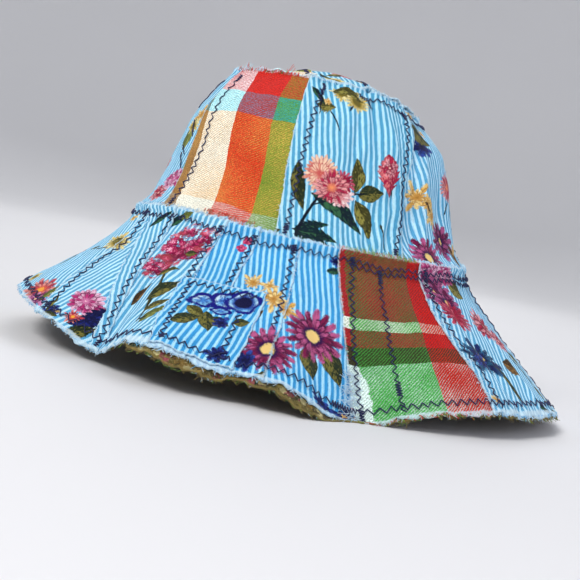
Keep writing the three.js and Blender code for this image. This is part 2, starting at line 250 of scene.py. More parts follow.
def ripple(angle, height, size, seed, tall=1.0):
    """Soft random waves from -1 to 1, about a size apart and taller than wide"""
    draw = random.Random(seed)
    a = np.radians(angle)
    around = [np.sin(a) * WAVE_RADIUS, np.cos(a) * WAVE_RADIUS, height / tall]
    total = 0
    for _ in range(WAVES):
        way = Vector([draw.gauss(0, 1) for _ in range(3)]).normalized()
        pace = math.tau / (size * draw.uniform(0.7, 1.5))
        phase = draw.uniform(0, math.tau)
        total = total + np.sin(pace * sum(w * p for w, p in zip(way, around)) + phase)
    return total / WAVE_PEAK


def seam_angle(seam, share):
    return np.interp(share, [0, 0.25, 0.5, 0.75, 1], seam)


def creased(creases, angle, share, reach):
    total = 0
    for low_at, high_at, low, high, half, depth in creases:
        part = (share - low) / (high - low)
        across = between(angle, low_at + (high_at - low_at) * part) * np.radians(reach)
        window = smooth(-0.15, 0.15, part) * smooth(1.15, 0.85, part)
        total = total + depth * window * np.exp(-(across / half)**2)
    return total


# Patches: name, cloth, seam at five even steps, stitching at the same steps and how far it
# runs. The stitched side of a seam lies on top.
CROWN_PATCHES = [
    ("front", "floral", [-22, -23, -25, -27, -30], [-19, -20, -21.5, -23, -26], 1),
    ("madras", "madras", [25.5, 23, 18.5, 16, 14], [28.5, 28.5, 27.5, 24, 20.5], 1),
    ("mum", "floral", [71.5, 70, 68.5, 67.5, 66], [74.7, 74.5, 74.2, 74.8, 76], 1),
    ("back", "floral", [119.5, 124, 125.5, 132, 139], [116.5, 121, 122.3, 127.6, 135], 1),
    ("nape", "ticking", [172, 172, 173, 174, 176], [175, 175, 176.5, 178, 181], 1),
    ("far_back", "floral", [214, 213, 212, 210, 208], [211, 210, 208.5, 206, 203], 1),
    ("far_madras", "madras", [256, 257, 257, 256, 254], [259, 260, 260.5, 260, 259], 1),
    ("far_front", "ticking", [300, 300, 301, 303, 306], [303, 303.5, 305, 307.5, 311], 1),
]
BRIM_PATCHES = [
    ("front", "floral", [-16, -15, -14, -14, -15], [-13.5, -12.5, -12, -12, -13], 1),
    ("chevron", "floral", [14, 19.5, 18.6, 20.6, 23], [17, 22.2, 20.8, 22.8, 24.6], 1),
    ("wedge", "ticking", [20, 26, 32, 36, 38], None, 1),
    ("hydrangea", "floral", [34, 35.8, 37.6, 39.2, 40.6], [32.5, 34.5, 36.3, 38, 39.5], 1),
    ("bud", "floral", [54.8, 53, 53.5, 55.5, 57], [53.4, 51.5, 52, 54.5, 57], 0.44),
    ("blossom", "floral", [66.8, 64.8, 64.3, 64, 64], [65.5, 63.5, 63, 63, 63], 0.44),
    ("aster", "floral", [81, 80.8, 80.5, 79.5, 79], [79, 79, 78.8, 77.7, 77.4], 0.66),
    ("madras", "madras", [94.5, 95.4, 96.5, 98.5, 99.8], [100, 99, 99, 100.4, 101.6], 1),
    ("back", "floral", [127, 126.5, 127.7, 129.3, 128.5], [130, 129.6, 130.6, 132, 131.5], 1),
    ("nape", "ticking", [160, 161, 161, 160, 159], [163, 163.5, 163, 162, 161], 1),
    ("nape_madras", "madras", [187, 186, 186, 187, 188], [190, 188.5, 188, 189, 190], 1),
    ("far_back", "floral", [214, 214, 213, 212, 212], [216.5, 216, 215, 214, 214], 1),
    ("far_ticking", "ticking", [247, 246, 246, 247, 248], [244.5, 244, 244, 245, 246], 1),
    ("far_madras", "madras", [275, 276, 276, 275, 274], [278, 278.5, 278, 277, 276], 1),
    ("far_floral", "floral", [303, 303, 304, 304, 305], [300.5, 301, 302, 302, 303], 1),
    ("far_front", "ticking", [326, 326, 327, 328, 329], [328.5, 328, 329, 330, 331], 1),
]
PARTS = {"crown": CROWN_PATCHES, "brim": BRIM_PATCHES}
SURFACES = {"crown": (crown_surface, 1), "brim": (brim_surface, -1)}
REACH = {"crown": 104.0, "brim": 97.0}  # length of a part's cloth, seam to seam
PUCKER_WIDTH, PUCKER_DEPTH = 4.5, 0.12
# Waves along the edges, as rows for waves: along the brim's seam, its hem and the crown's ridge
SEAM_WAVES = [(0.35, 1.15, 0), (0.3, 1.9, 1)]
HEM_WAVES = [(0.375, 1.7, 0), (0.3375, 2.9, 2), (0.3, 5.3, 0)]
RIDGE_WAVES = [(0.55, 1.5, 0), (0.5, 3.1, 1)]
SEAM_RUN, HEM_FLAT, HEM_WIDTH = 5.0, 2.0, 7.0  # where they run along the brim, in mm


def puckers(part, angle, share, radius):
    """The cloth draws in where it is stitched"""
    total = 0
    run = share * REACH[part]
    for _, _, seam, stitch, _ in PARTS[part]:
        line = seam_angle(stitch or seam, share)
        across = between(angle, line) * np.radians(radius)
        wave = waves(math.tau * run, [(0.34, 6.3, seam[0]), (0.2, 3.9, seam[2])])
        total = total + (wave - PUCKER_DEPTH) * np.exp(-(across / PUCKER_WIDTH)**2)
    round_run = np.radians(angle) * radius
    if part == "crown":
        return total + smooth(0.93, 1.03, share) * waves(round_run, RIDGE_WAVES)
    at_seam = np.exp(-((run - SEAM_RUN) / PUCKER_WIDTH)**2)
    at_hem = np.exp(-(np.maximum(REACH["brim"] - run - HEM_FLAT, 0) / HEM_WIDTH)**2)
    return total + at_seam * waves(round_run, SEAM_WAVES) + at_hem * waves(round_run, HEM_WAVES)


# How the cloth of each part lies: soft waves, each with its height, size, seed and how much
# taller than wide it is, then its creases and the shares between which all this sets in
SOFTNESS = {
    "crown": ([(0.75, 34, 1, 2.0), (0.3, 13, 2, 1.6)], CROWN_CREASES, (-0.02, 0.08)),
    "brim": ([(0.8, 38, 3, 1.6), (0.35, 14, 4, 1.5)], BRIM_CREASES, (0.0, 0.12)),
}
GRAIN_HEIGHT, GRAIN_SIZE, GRAIN_SEED = 0.1, 4.5, 5


def settle(part, angle, share, lift=0.0):
    """Where the cloth of a part lies, lifted off its plain surface"""
    surface, way = SURFACES[part]
    angle, share = np.broadcast_arrays(np.asarray(angle, float), np.asarray(share, float))
    point = surface(angle, share)
    out = outward(surface, angle, share, STEP_ANGLE, STEP_SHARE, way)
    radius = from_axis(point)
    run = share * REACH[part]
    ripples, creases, (low, high) = SOFTNESS[part]
    soft = sum(height * ripple(angle, way * run, size, seed, tall) for height, size, seed, tall in ripples)
    soft = (soft + creased(creases, angle, share, radius)) * smooth(low, high, share)
    depth = soft + puckers(part, angle, share, radius) + lift
    depth = depth + GRAIN_HEIGHT * ripple(angle, run, GRAIN_SIZE, GRAIN_SEED)
    point = point + out * depth[..., None]
    point[..., 2] = np.maximum(point[..., 2], CLOTH + 0.1)  # the cloth stays above the floor
    return point


class Patch:
    """One piece of cloth, its two seams and which of them it covers"""

    def __init__(self, part, name, cloth, left, right, covers_left, covers_right):
        self.part, self.name, self.cloth = part, name, cloth
        self.left, self.right = left, right
        self.covers_left, self.covers_right = covers_left, covers_right
        self.middle = (left[2] + right[2]) / 2
        self.steps = np.linspace(-0.06, 1.08, 115)
        surface, way = SURFACES[part]
        runs = runs_along(surface(np.full_like(self.steps, self.middle), self.steps))
        self.runs = (runs - np.interp(0, self.steps, runs)) * way

    def radius(self, angle, share):
        return from_axis(SURFACES[self.part][0](angle, share))

    def cloth_place(self, angle, share):
        """Where a point lies on the flat cloth: across and up, in mm"""
        angle, share = np.broadcast_arrays(np.asarray(angle, float), np.asarray(share, float))
        across = np.radians(angle - self.middle) * self.radius(angle, share)
        return across, np.interp(share, self.steps, self.runs)

    def seams(self):
        """Both seams: their angles, the way in from them and whether the patch covers them"""
        return (self.left, 1, self.covers_left), (self.right, -1, self.covers_right)

    def insides(self, angle, share):
        """How far inside each of its seams a point lies, in mm"""
        size = np.radians(self.radius(angle, share))
        return [way * between(angle, seam_angle(seam, share)) * size for seam, way, _ in self.seams()]

    def lap(self, angle, share):
        """Lift of the edges that lie over or under their neighbours"""
        total = 0
        for inside, (_, _, covers) in zip(self.insides(angle, share), self.seams()):
            near = np.exp(-np.maximum(inside, 0) / EDGE_WIDTH)
            total = total + (EDGE_LIFT if covers else -EDGE_UNDER) * near
        if self.part == "brim":
            total = total + BRIM_TOP_LIFT * smooth(0.03, 0.0, share)
        return total

    def point(self, angle, share, lift=0.0):
        return settle(self.part, angle, share, self.lap(angle, share) + lift)


def cut_patches(part):
    rows = PARTS[part]
    patches = []
    for index, (name, cloth, seam, stitch, _) in enumerate(rows):
        following = rows[(index + 1) % len(rows)]
        turn = 360 if index == len(rows) - 1 else 0
        right = [angle + turn for angle in following[2]]
        on_top = stitch is None or stitch[2] > seam[2]
        next_on_top = following[3] is None or following[3][2] > following[2][2]
        patches.append(Patch(part, name, cloth, seam, right, on_top, not next_on_top))
    return patches


# Cloth pieces

def grid_mesh(name, columns, rows, settle_grid):
    """A grid whose points a function places. It is given across and up, each from 0 to 1,
    and returns the places, the cloth's flat places, how frayed each point is and, if it
    knows, how far it lies from the left seam."""
    mesh = bpy.data.meshes.new(name)
    bm = bmesh.new()
    bmesh.ops.create_grid(bm, x_segments=columns, y_segments=rows, size=0.5)
    flat = np.array([vert.co for vert in bm.verts]) + 0.5
    points, cloth, *marks = settle_grid(flat[:, 0], flat[:, 1])
    for vert, point in zip(bm.verts, points * MM):
        vert.co = point
    layer = bm.loops.layers.uv.new("cloth")
    for face in bm.faces:
        face.smooth = True
        for loop in face.loops:
            loop[layer].uv = cloth[loop.vert.index]
    for key, values in zip(("fray", "side"), marks):
        mark = bm.verts.layers.float.new(key)
        for vert, value in zip(bm.verts, values):
            vert[mark] = value
    bmesh.ops.remove_doubles(bm, verts=bm.verts, dist=0.02 * MM)
    bmesh.ops.dissolve_degenerate(bm, edges=bm.edges, dist=0.01 * MM)
    bm.to_mesh(mesh)
    bm.free()
    return mesh


def link_piece(name, mesh, material, nodes=()):
    piece = bpy.data.objects.new(name, mesh)
    bpy.context.scene.collection.objects.link(piece)
    mesh.materials.append(material)
    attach(piece, "root")
    if nodes:
        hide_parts(*nodes)
    return piece


def sew_cloth(name, columns, rows, lay, material, node):
    """One piece of cloth, a grid given the thickness of its layer"""
    mesh = grid_mesh(name, columns, rows, lay)
    wall = link_piece(name, mesh, material, [node]).modifiers.new("wall", "SOLIDIFY")
    wall.thickness = CLOTH * MM
    wall.offset = -1


def ragged(run, seed, size):
    """The unevenness of a raw cut edge along its run"""
    draw = random.Random(seed)
    total = 0
    for pace in (23, 9, 4.1, 2.3):
        beat = pace * draw.uniform(0.8, 1.2)
        total = total + np.sin(math.tau * run / beat + draw.uniform(0, 6)) * pace**0.4
    return total / 5 * size


RAW_SEAM = {"crown": 0.22, "brim": 0.4}  # unevenness of the raw edges beside a seam
# How far the hem's turned edge shows, and where it shows more: angle, half angle, more
HEM_TURN = 3.4
HEM_TURNS = [(54, 16, 4.0), (143, 12, 4.0)]


def sew_patch(patch, material, slot):
    crown = patch.part == "crown"
    low, high = (0.0, 1 + RIDGE / CROWN_HEIGHT) if crown else (-BRIM_OVER_CROWN / BRIM_LENGTH, 1.0)
    middle_radius = float(patch.radius(np.array(patch.middle), np.array(0.6)))
    width = math.radians(patch.right[2] - patch.left[2]) * middle_radius + 2 * UNDERLAP

    def lay(across, up):
        share = low + (high - low) * (up if crown else 1 - up)
        inner = np.clip(share, 0, 1)
        radius = patch.radius(np.full_like(share, patch.middle), inner)
        run = inner * REACH[patch.part]
        sides = []
        for side, (seam, way, covers) in zip(("left", "right"), patch.seams()):
            past = ragged(run, patch.name + side, RAW_SEAM[patch.part]) if covers else UNDERLAP
            sides.append(seam_angle(seam, inner) - way * np.degrees(past / radius))
        angle = sides[0] + (sides[1] - sides[0]) * across
        around = np.radians(angle) * 100
        edge = ragged(around, patch.part, 0.011)
        if crown:
            share = share + edge * smooth(0.97, high, share)
        else:
            top_edge = ragged(around, "top", 0.008)
            share = share + edge * smooth(0.9, 1.0, share) + top_edge * smooth(0.05, low, share)
        points = patch.point(angle, share)
        cloth = np.stack(patch.cloth_place(angle, share), -1)
        insides = patch.insides(angle, share)
        fray = np.zeros_like(angle)
        for inside, (_, _, covers) in zip(insides, patch.seams()):
            if covers:
                fray = np.maximum(fray, smooth(1.6, -0.4, inside))
        if crown:
            fray = np.maximum(fray, smooth(1 + 1.2 / CROWN_HEIGHT, high, share))
        else:
            turned = HEM_TURN
            for at, half, more in HEM_TURNS:
                turned = turned + more * np.exp(-(between(angle, at) / half)**2)
            turned = turned / REACH["brim"]
            fray = np.maximum(fray, smooth(1 - turned, 1 - 0.25 * turned, share))
            fray = np.maximum(fray, smooth(0.008, low, share))
        return points, cloth, fray, insides[0]

    name = f"{patch.part}_{patch.name}"
    rows = math.ceil((high - low) * REACH[patch.part] / GRID)
    sew_cloth(name + "_cloth", math.ceil(width / GRID), rows, lay, material, name + "_patch")


PANSY_LEFT, PANSY_RIGHT = (50.5, 57.0), (74.7, 73.0)  # angle at its top and at its hem
PANSY_TOP, PANSY_HEM = 0.395, 0.975
PANSY_WIDTH, PANSY_HEIGHT = 56.0, 57.0
PANSY_LIFT = 0.95
PANSY_GRID = 44


def pansy_angle(across, share):
    part = (share - PANSY_TOP) / (PANSY_HEM - PANSY_TOP)
    left = PANSY_LEFT[0] + (PANSY_LEFT[1] - PANSY_LEFT[0]) * part
    right = PANSY_RIGHT[0] + (PANSY_RIGHT[1] - PANSY_RIGHT[0]) * part
    return left + (right - left) * across


def sew_pansy_patch(around, material):
    """The square patch, its print laid out on the patch of brim around it"""
    def lay(across, up):
        share = PANSY_HEM + (PANSY_TOP - PANSY_HEM) * up
        share = share + ragged(across * 60, "pansy", 0.006) * (smooth(0.95, 1, up) + smooth(0.05, 0, up))
        angle = pansy_angle(across, share) + ragged(share * 90, "pansy side", 0.25) * (2 * across - 1)**9
        from_side, from_end = np.minimum(across, 1 - across), np.minimum(up, 1 - up)
        inside = np.minimum(from_side * PANSY_WIDTH, from_end * PANSY_HEIGHT)
        points = settle("brim", angle, share, PANSY_LIFT + 0.35 * np.exp(-inside / 4))
        cloth = np.stack(around.cloth_place(angle, share), -1)
        return points, cloth, smooth(1.7, 0.0, inside)

    sew_cloth("pansy_cloth", PANSY_GRID, PANSY_GRID, lay, material, "pansy_patch")


FACING_SECTORS = [
    ("front", -30), ("near_front", 36), ("near", 90), ("back", 150), ("far_back", 210), ("far_front", 272),
]
# angle, how far the facing's raw edge hangs past the hem of the patches
FACING_HEM = [
    (0, -5), (22, -5), (34, -2), (45, -4), (57, 4.5), (66, 5.5), (73, 3.0), (80, 4.5), (88, 7.0), (95, 5.0),
    (106, 1.0), (135, 0.5), (165, 1.5), (200, 0), (240, 1.5), (275, 2.5), (310, 0), (340, 1.0),
]
FACING_TOP = -0.012  # share at which the facing starts
FACING_OVERLAP = 1.0  # of one sector over the last, in degrees
FACING_ROWS, FACING_GRID = 56, 1.9
FACING_RADIUS, FACING_CUT_RADIUS = 140.0, 130.0  # for the print's places, and for its columns


def facing_hang(angle):
    return curve(FACING_HEM, 1, angle, 360) + ragged(np.radians(angle) * 150, "facing", 1.1)


def sew_facing(index, material):
    name, start = FACING_SECTORS[index]
    following = FACING_SECTORS[(index + 1) % len(FACING_SECTORS)][1]
    end = following + (360 if following < start else 0)

    def lay(across, up):
        angle = start - FACING_OVERLAP + (end - start + FACING_OVERLAP) * across
        reach = 1 + facing_hang(angle) / REACH["brim"]
        share = reach + (FACING_TOP - reach) * up
        lift = -FACING_DEPTH - 0.35 * across
        lift = lift + 1.0 * smooth(0.94, 1.0, share) + 0.5 * smooth(1.0, 1.06, share)
        points = settle("brim", angle, share, lift)
        cloth = np.stack([np.radians(angle) * FACING_RADIUS, share * REACH["brim"]], -1)
        return points, cloth, smooth(reach - 0.03, reach - 0.004, share)

    columns = math.ceil(math.radians(end - start) * FACING_CUT_RADIUS / FACING_GRID)
    name = "facing_" + name
    sew_cloth(name + "_cloth", columns, FACING_ROWS, lay, material, name)


# name, start and end along the head from -1 at the front to 1 at the back, cloth
TOP_STRIPS = [
    ("front", -1.0, -0.3, "madras"), ("middle", -0.3, 0.35, "floral"), ("back", 0.35, 1.0, "ticking"),
]
TOP_COLUMNS = 72
TOP_UNDERLAP = 0.06


def top_point(across, along, lift=0.0):
    across, along = np.broadcast_arrays(np.asarray(across, float), np.asarray(along, float))
    point = top_surface(across, along)
    out = outward(top_surface, across, along, STEP_TOP, STEP_TOP, 1)
    x, y = across * TOP_HALF_WIDTH, along * TOP_HALF_LENGTH
    wave = 0
    for _, edge, _, _ in TOP_STRIPS[1:]:
        near = np.exp(-((along - edge) * TOP_HALF_LENGTH / 4)**2)
        wave = wave + 0.4 * np.sin(x / 1.1 + edge * 9) * near
    rim = smooth(0.8, 1.0, np.hypot(across, along))
    turn = np.arctan2(along, across)
    wave = wave + rim * (0.5 * np.sin(turn * 31) + 0.4 * np.sin(turn * 19 + 2))
    wave = wave + 0.7 * np.sin(x / 9 + 1) * np.cos(y / 12) + 0.35 * np.sin(x / 4.1 + y / 6.3)
    return point + out * (wave + lift)[..., None]


def sew_top(strip, material, slot):
    name, start, end, _ = strip
    low = max(-1.0, start - (TOP_UNDERLAP if start > -1 else 0))
    rise = EDGE_LIFT + 0.2

    def lay(across, up):
        turn = math.asin(low) + (math.asin(end) - math.asin(low)) * up
        along = np.sin(turn)
        side = (2 * across - 1) * np.cos(turn)
        from_end = np.maximum(end - along, 0) * TOP_HALF_LENGTH
        lift = rise * np.exp(-from_end / EDGE_WIDTH) if end < 1 else 0 * along
        if start > -1:
            lift = lift - 0.3 * smooth(start + 0.1, start - 0.02, along)
        out = np.hypot(side, along)
        fray = smooth(0.975, 1.0, out)
        if end < 1:
            fray = np.maximum(fray, smooth(end - 1.4 / TOP_HALF_LENGTH, end, along))
        cloth = np.stack([side * TOP_HALF_WIDTH, along * TOP_HALF_LENGTH], -1)
        return top_point(side, along, lift), cloth, fray

    rows = math.ceil((math.asin(end) - math.asin(low)) * TOP_HALF_LENGTH / GRID)
    sew_cloth(f"top_{name}_cloth", TOP_COLUMNS, rows, lay, material, f"top_{name}_patch")


# Shaders

class Value:
    """A shader socket that can be reckoned with like a number"""

    def __init__(self, painter, socket):
        self.painter, self.socket = painter, socket

    def __add__(self, other):
        return self.painter.math("ADD", self, other)

    def __radd__(self, other):
        return self.painter.math("ADD", other, self)

    def __sub__(self, other):
        return self.painter.math("SUBTRACT", self, other)

    def __rsub__(self, other):
        return self.painter.math("SUBTRACT", other, self)

    def __mul__(self, other):
        return self.painter.math("MULTIPLY", self, other)

    def __truediv__(self, other):
        return self.painter.math("DIVIDE", self, other)

    def __pow__(self, other):
        return self.painter.math("POWER", self, other)

    def __abs__(self):
        return self.painter.math("ABSOLUTE", self)


class Painter:
    """Lays shader nodes into one tree, most calls giving back the value to use next"""

    def __init__(self, tree):
        self.tree = tree

    def plug(self, node, sockets):
        for key, value in sockets.items():
            if isinstance(value, Value):
                self.tree.links.new(value.socket, node.inputs[key])
            else:
                node.inputs[key].default_value = value
        return node

    def add(self, kind, sockets, **settings):
        made = self.tree.nodes.new(kind)
        for key, value in settings.items():
            setattr(made, key, value)
        return self.plug(made, sockets)

    def node(self, kind, sockets, out=0, **settings):
        return Value(self, self.add(kind, sockets, **settings).outputs[out])

    def math(self, operation, a, b=0.0, clamp=False):
        return self.node("ShaderNodeMath", {0: a, 1: b}, operation=operation, use_clamp=clamp)

    def step(self, value, low, high):
        sockets = {0: value, 1: low, 2: high}
        return self.node("ShaderNodeMapRange", sockets, interpolation_type="SMOOTHSTEP")

    def mix(self, part, a, b, blend="MIX"):
        return self.node("ShaderNodeMix", {0: part, 6: a, 7: b}, 2, data_type="RGBA", blend_type=blend)

    def shaded(self, colour, light):
        tone = self.node("ShaderNodeCombineColor", {0: light, 1: light, 2: light})
        return self.mix(1.0, colour, tone, "MULTIPLY")

    def noise(self, vector, scale, detail=1.0, out=0, rough=0.5):
        sockets = {"Vector": vector, "Scale": scale, "Detail": detail, "Roughness": rough}
        return self.node("ShaderNodeTexNoise", sockets, out)

    def shift(self, vector, by, scale):
        """A vector moved by the colour of a noise, centred on none"""
        centred = self.node("ShaderNodeVectorMath", {0: by, 1: (0.5, 0.5, 0.5)}, operation="SUBTRACT")
        sized = self.node("ShaderNodeVectorMath", {0: centred, 3: scale}, operation="SCALE")
        return self.node("ShaderNodeVectorMath", {0: vector, 1: sized}, operation="ADD")

    def parts(self, vector):
        made = self.add("ShaderNodeSeparateXYZ", {0: vector})
        return [Value(self, socket) for socket in made.outputs]

    def cells(self, vector, scale, randomness=1.0):
        """Scattered cells: how far a point is from its cell's middle, and the cell's chances"""
        sockets = {"Vector": vector, "Scale": scale, "Randomness": randomness}
        made = self.add("ShaderNodeTexVoronoi", sockets).outputs
        return Value(self, made["Distance"]), self.parts(Value(self, made["Color"]))

    def mark(self, name):
        """A number that each point of the cloth carries"""
        return self.node("ShaderNodeAttribute", {}, 2, attribute_name=name)

    def group(self, tree, sockets):
        made = self.add("ShaderNodeGroup", sockets, node_tree=tree)
        return {socket.name: Value(self, socket) for socket in made.outputs}


def new_material(name):
    material = bpy.data.materials.new(name)
    material.use_nodes = True
    tree = material.node_tree
    return material, Painter(tree), tree.nodes["Principled BSDF"]


SOCKET_KINDS = {"f": "NodeSocketFloat", "v": "NodeSocketVector", "c": "NodeSocketColor"}


def new_group(name, inputs, outputs):
    """An empty node group, with its painter and its inputs by name"""
    tree = bpy.data.node_groups.new(name, "ShaderNodeTree")
    for way, kinds in (("INPUT", inputs), ("OUTPUT", outputs)):
        for key, kind in kinds.items():
            tree.interface.new_socket(key, in_out=way, socket_type=SOCKET_KINDS[kind])
    given = tree.nodes.new("NodeGroupInput").outputs
    p = Painter(tree)
    return tree, p, {key: Value(p, given[key]) for key in inputs}


def close_group(tree, p, results):
    p.plug(tree.nodes.new("NodeGroupOutput"), results)
    return tree


def bloom_group():
    """A flower seen from above: two layers of ragged painted petals round a heart"""
    inputs = {"Place": "v", "Grain": "v", "Seed": "f", "Petals": "f", "Gap": "f", "Rag": "f",
              "Heart size": "f", "Rim": "f", "Heart": "c", "Inner": "c", "Middle": "c", "Tip": "c",
              "Shade": "c"}
    tree, p, given = new_group("bloom", inputs, {"Colour": "c", "Mask": "f"})
    x, y, _ = p.parts(given["Place"])
    soft, fine, _ = p.parts(given["Grain"])
    away = p.math("SQRT", x * x + y * y)
    turn = p.math("ARCTAN2", y, x) * (1 / math.tau)

    def petals(count, size, number):
        """One layer: its edge, each petal's own chance, and how near a gap a point lies"""
        beat = turn * count + soft * 0.9
        petal = p.math("FLOOR", beat) + (given["Seed"] + number)
        chance = p.node("ShaderNodeTexWhiteNoise", {"W": petal}, "Color", noise_dimensions="1D")
        reach, tone, _ = p.parts(chance)
        gap = abs(p.math("FRACT", beat) - 0.5) * 2.0
        cut = 1.0 - gap**2.1 * given["Gap"]
        own = 1.0 - reach * given["Rag"]
        edge = cut * own * size + (fine - 0.5) * 0.22
        return beat, edge, tone, gap

    def paint(beat, edge, tone, gap, base):
        """Strokes of light and dark along each petal"""
        part = away / edge
        along = p.node("ShaderNodeCombineXYZ", {0: beat * 3.4, 1: away * 1.6, 2: base})
        stroke = p.noise(along, 1.6, 1.0)
        bleed = part + (stroke - 0.5) * 0.9
        colour = p.mix(p.step(bleed, 0.2, 0.62), given["Inner"], given["Middle"])
        light = bleed + (tone - 0.45) * 0.9
        colour = p.mix(p.step(light, 0.6, 1.0), colour, given["Tip"])
        dark = p.step(stroke, 0.5, 0.38) * 0.7
        dark = p.math("MAXIMUM", dark, p.step(gap, 0.6, 0.95) * 0.85)
        rim = 1.0 - given["Rim"]
        dark = p.math("MAXIMUM", dark, p.step(part, rim, rim + 0.1))
        return p.mix(dark, colour, given["Shade"])

    beat, edge, tone, gap = petals(given["Petals"], 1.0, 0.0)
    mask = p.step(edge - away, -0.02, 0.03)
    colour = paint(beat, edge, tone, gap, 0.0)
    beat, edge, tone, gap = petals(given["Petals"] - 3.0, 0.62, 37.0)
    below = edge - away
    outline = p.step(abs(below), 0.07, 0.02) * 0.8
    layered = p.step(given["Rim"], 0.12, 0.08)
    colour = p.mix(outline * layered, colour, given["Shade"])
    covered = p.step(below, 0.0, 0.03) * layered
    colour = p.mix(covered, colour, paint(beat, edge, tone, gap, 5.0))
    near = away + (fine - 0.5) * 0.14 - given["Heart size"]
    ring = p.step(near + (soft - 0.5) * 0.35, 0.2, 0.04) * p.step(given["Heart size"], 0.02, 0.05)
    colour = p.mix(ring * 0.85, colour, given["Inner"])
    colour = p.mix(p.step(near, 0.03, -0.03), colour, given["Heart"])
    return close_group(tree, p, {"Colour": colour, "Mask": mask})


def cluster_group():
    """A head of many small florets, light at their hearts and dark between"""
    inputs = {"Place": "v", "Grain": "v", "Florets": "f", "Light": "c", "Middle": "c", "Dark": "c",
              "Heart": "c"}
    tree, p, given = new_group("cluster", inputs, {"Colour": "c", "Mask": "f"})
    x, y, _ = p.parts(given["Place"])
    soft, fine, _ = p.parts(given["Grain"])
    away = p.math("SQRT", x * x + y * y)
    apart, (tone, other, _) = p.cells(given["Place"], given["Florets"])
    edge = 0.72 + tone * 0.4 + (soft - 0.5) * 0.5
    mask = p.step(edge - away, -0.03, 0.05) * p.step(apart, 0.78, 0.7)
    bleed = apart + (fine - 0.5) * 0.9 + (other - 0.5) * 0.3
    colour = p.mix(p.step(bleed, 0.08, 0.26), given["Light"], given["Middle"])
    colour = p.mix(p.step(bleed, 0.3, 0.52), colour, given["Dark"])
    colour = p.mix(p.step(tone, 0.66, 0.94) * 0.36, colour, given["Heart"])
    return close_group(tree, p, {"Colour": colour, "Mask": mask})


def leaf_group():
    """A leaf, or with a blunt end a stem, along x from -1 to 1"""
    inputs = {"Place": "v", "Grain": "v", "Width": "f", "Bend": "f", "Jag": "f", "Blunt": "f",
              "Light": "c", "Dark": "c", "Rib": "c"}
    tree, p, given = new_group("leaf", inputs, {"Colour": "c", "Mask": "f"})
    x, y, _ = p.parts(given["Place"])
    soft = p.parts(given["Grain"])[0]
    square = x * x
    side = y - given["Bend"] * (1.0 - square)
    off = abs(side)
    plump = p.math("SUBTRACT", 1.0, abs(x)**given["Blunt"], clamp=True)
    plump = plump * (1.0 - x * 0.3) - p.math("GREATER_THAN", square, 1.0)
    tooth = p.math("FRACT", x * 3.6 + off * 1.5)
    plump = plump * (1.0 - tooth * given["Jag"])
    inside = plump * given["Width"] * (0.85 + soft * 0.3) - off
    mask = p.step(inside, -0.012, 0.018)
    along = p.node("ShaderNodeCombineXYZ", {0: (x - off) * 4.0, 1: side * 9.0, 2: given["Width"]})
    tone = p.noise(along, 1.5, 1.5) + p.step(side, -0.03, 0.03) * 0.16
    colour = p.mix(p.step(tone, 0.45, 0.62), given["Light"], given["Dark"])
    vein = p.math("SINE", (x - off) * 26.0)
    colour = p.mix(p.step(vein, 0.7, 1.0) * 0.4, colour, given["Rib"])
    colour = p.mix(p.step(off, 0.035, 0.01) * 0.6, colour, given["Rib"])
    colour = p.mix(p.step(inside, 0.07, 0.01) * 0.8, colour, given["Rib"])
    return close_group(tree, p, {"Colour": colour, "Mask": mask})


STRIPE = 3.25  # from one blue stripe to the next
WEFT_PITCH, WARP_PITCH = 1.3, 1.08  # from thread to thread of the ticking, up and across
# Blue, pale and cream of the ticking's stripes
TICKING = {"crown": (dye(80, 162, 202), dye(168, 224, 246), dye(190, 232, 246)),
           "brim": (dye(54, 152, 212), dye(148, 214, 248), dye(176, 226, 250)),
           "faded": (dye(90, 168, 210), dye(178, 228, 250), dye(200, 236, 252))}
FADED = ("brim_front", "brim_chevron", "brim_wedge", "brim_hydrangea", "brim_back", "brim_nape",
         "crown_front", "crown_back", "crown_nape")
RAW = dye(210, 232, 242)  # of a frayed edge


def colour_ramp(p, value, stops):
    """Plain steps of colour along a value from 0 to 1"""
    made = p.add("ShaderNodeValToRGB", {0: value})
    made.color_ramp.interpolation = "CONSTANT"
    elements = made.color_ramp.elements
    while len(elements) < len(stops):
        elements.new(1.0)
    for element, (position, colour) in zip(elements, stops):
        element.position = position
        element.color = colour
    return Value(p, made.outputs[0])


def ticking_group():
    """Blue and pale stripes of even width that run up the cloth, their edges soft"""
    inputs = {"Place": "v", "Grain": "v", "Blue": "c", "Pale": "c", "Cream": "c"}
    tree, p, given = new_group("ticking", inputs, {"Colour": "c", "Height": "f"})
    x, y, _ = p.parts(given["Place"])
    fine = p.parts(given["Grain"])[1]
    wave = p.math("SINE", (x / STRIPE + fine * 0.12) * math.tau)
    colour = p.mix(p.step(wave, -0.42, 0.5), given["Blue"], given["Pale"])
    colour = p.mix(p.step(wave, 0.62, 1.0), colour, given["Cream"])
    deep = p.step(abs(wave + 0.5), 0.34, 0.0) * 0.3
    colour = p.mix(deep, colour, given["Blue"], "MULTIPLY")
    weave = p.math("SINE", y * (math.tau / WEFT_PITCH)) * p.math("SINE", x * (math.tau / WARP_PITCH))
    slub = p.node("ShaderNodeMapping", {"Vector": given["Place"], "Scale": (1.5, 0.16, 1.0)})
    light = 0.52 + (fine * 0.56 + p.noise(slub, 1.0, 1.5) * 0.46) + weave * 0.16
    return close_group(tree, p, {"Colour": p.shaded(colour, light), "Height": weave})


WARP_DYES = {"tan": dye(150, 110, 64), "white": dye(242, 236, 218), "red": dye(210, 42, 22),
             "green": dye(106, 146, 44), "leaf": dye(60, 160, 54), "blue": dye(70, 150, 205),
             "rose": dye(200, 22, 2)}
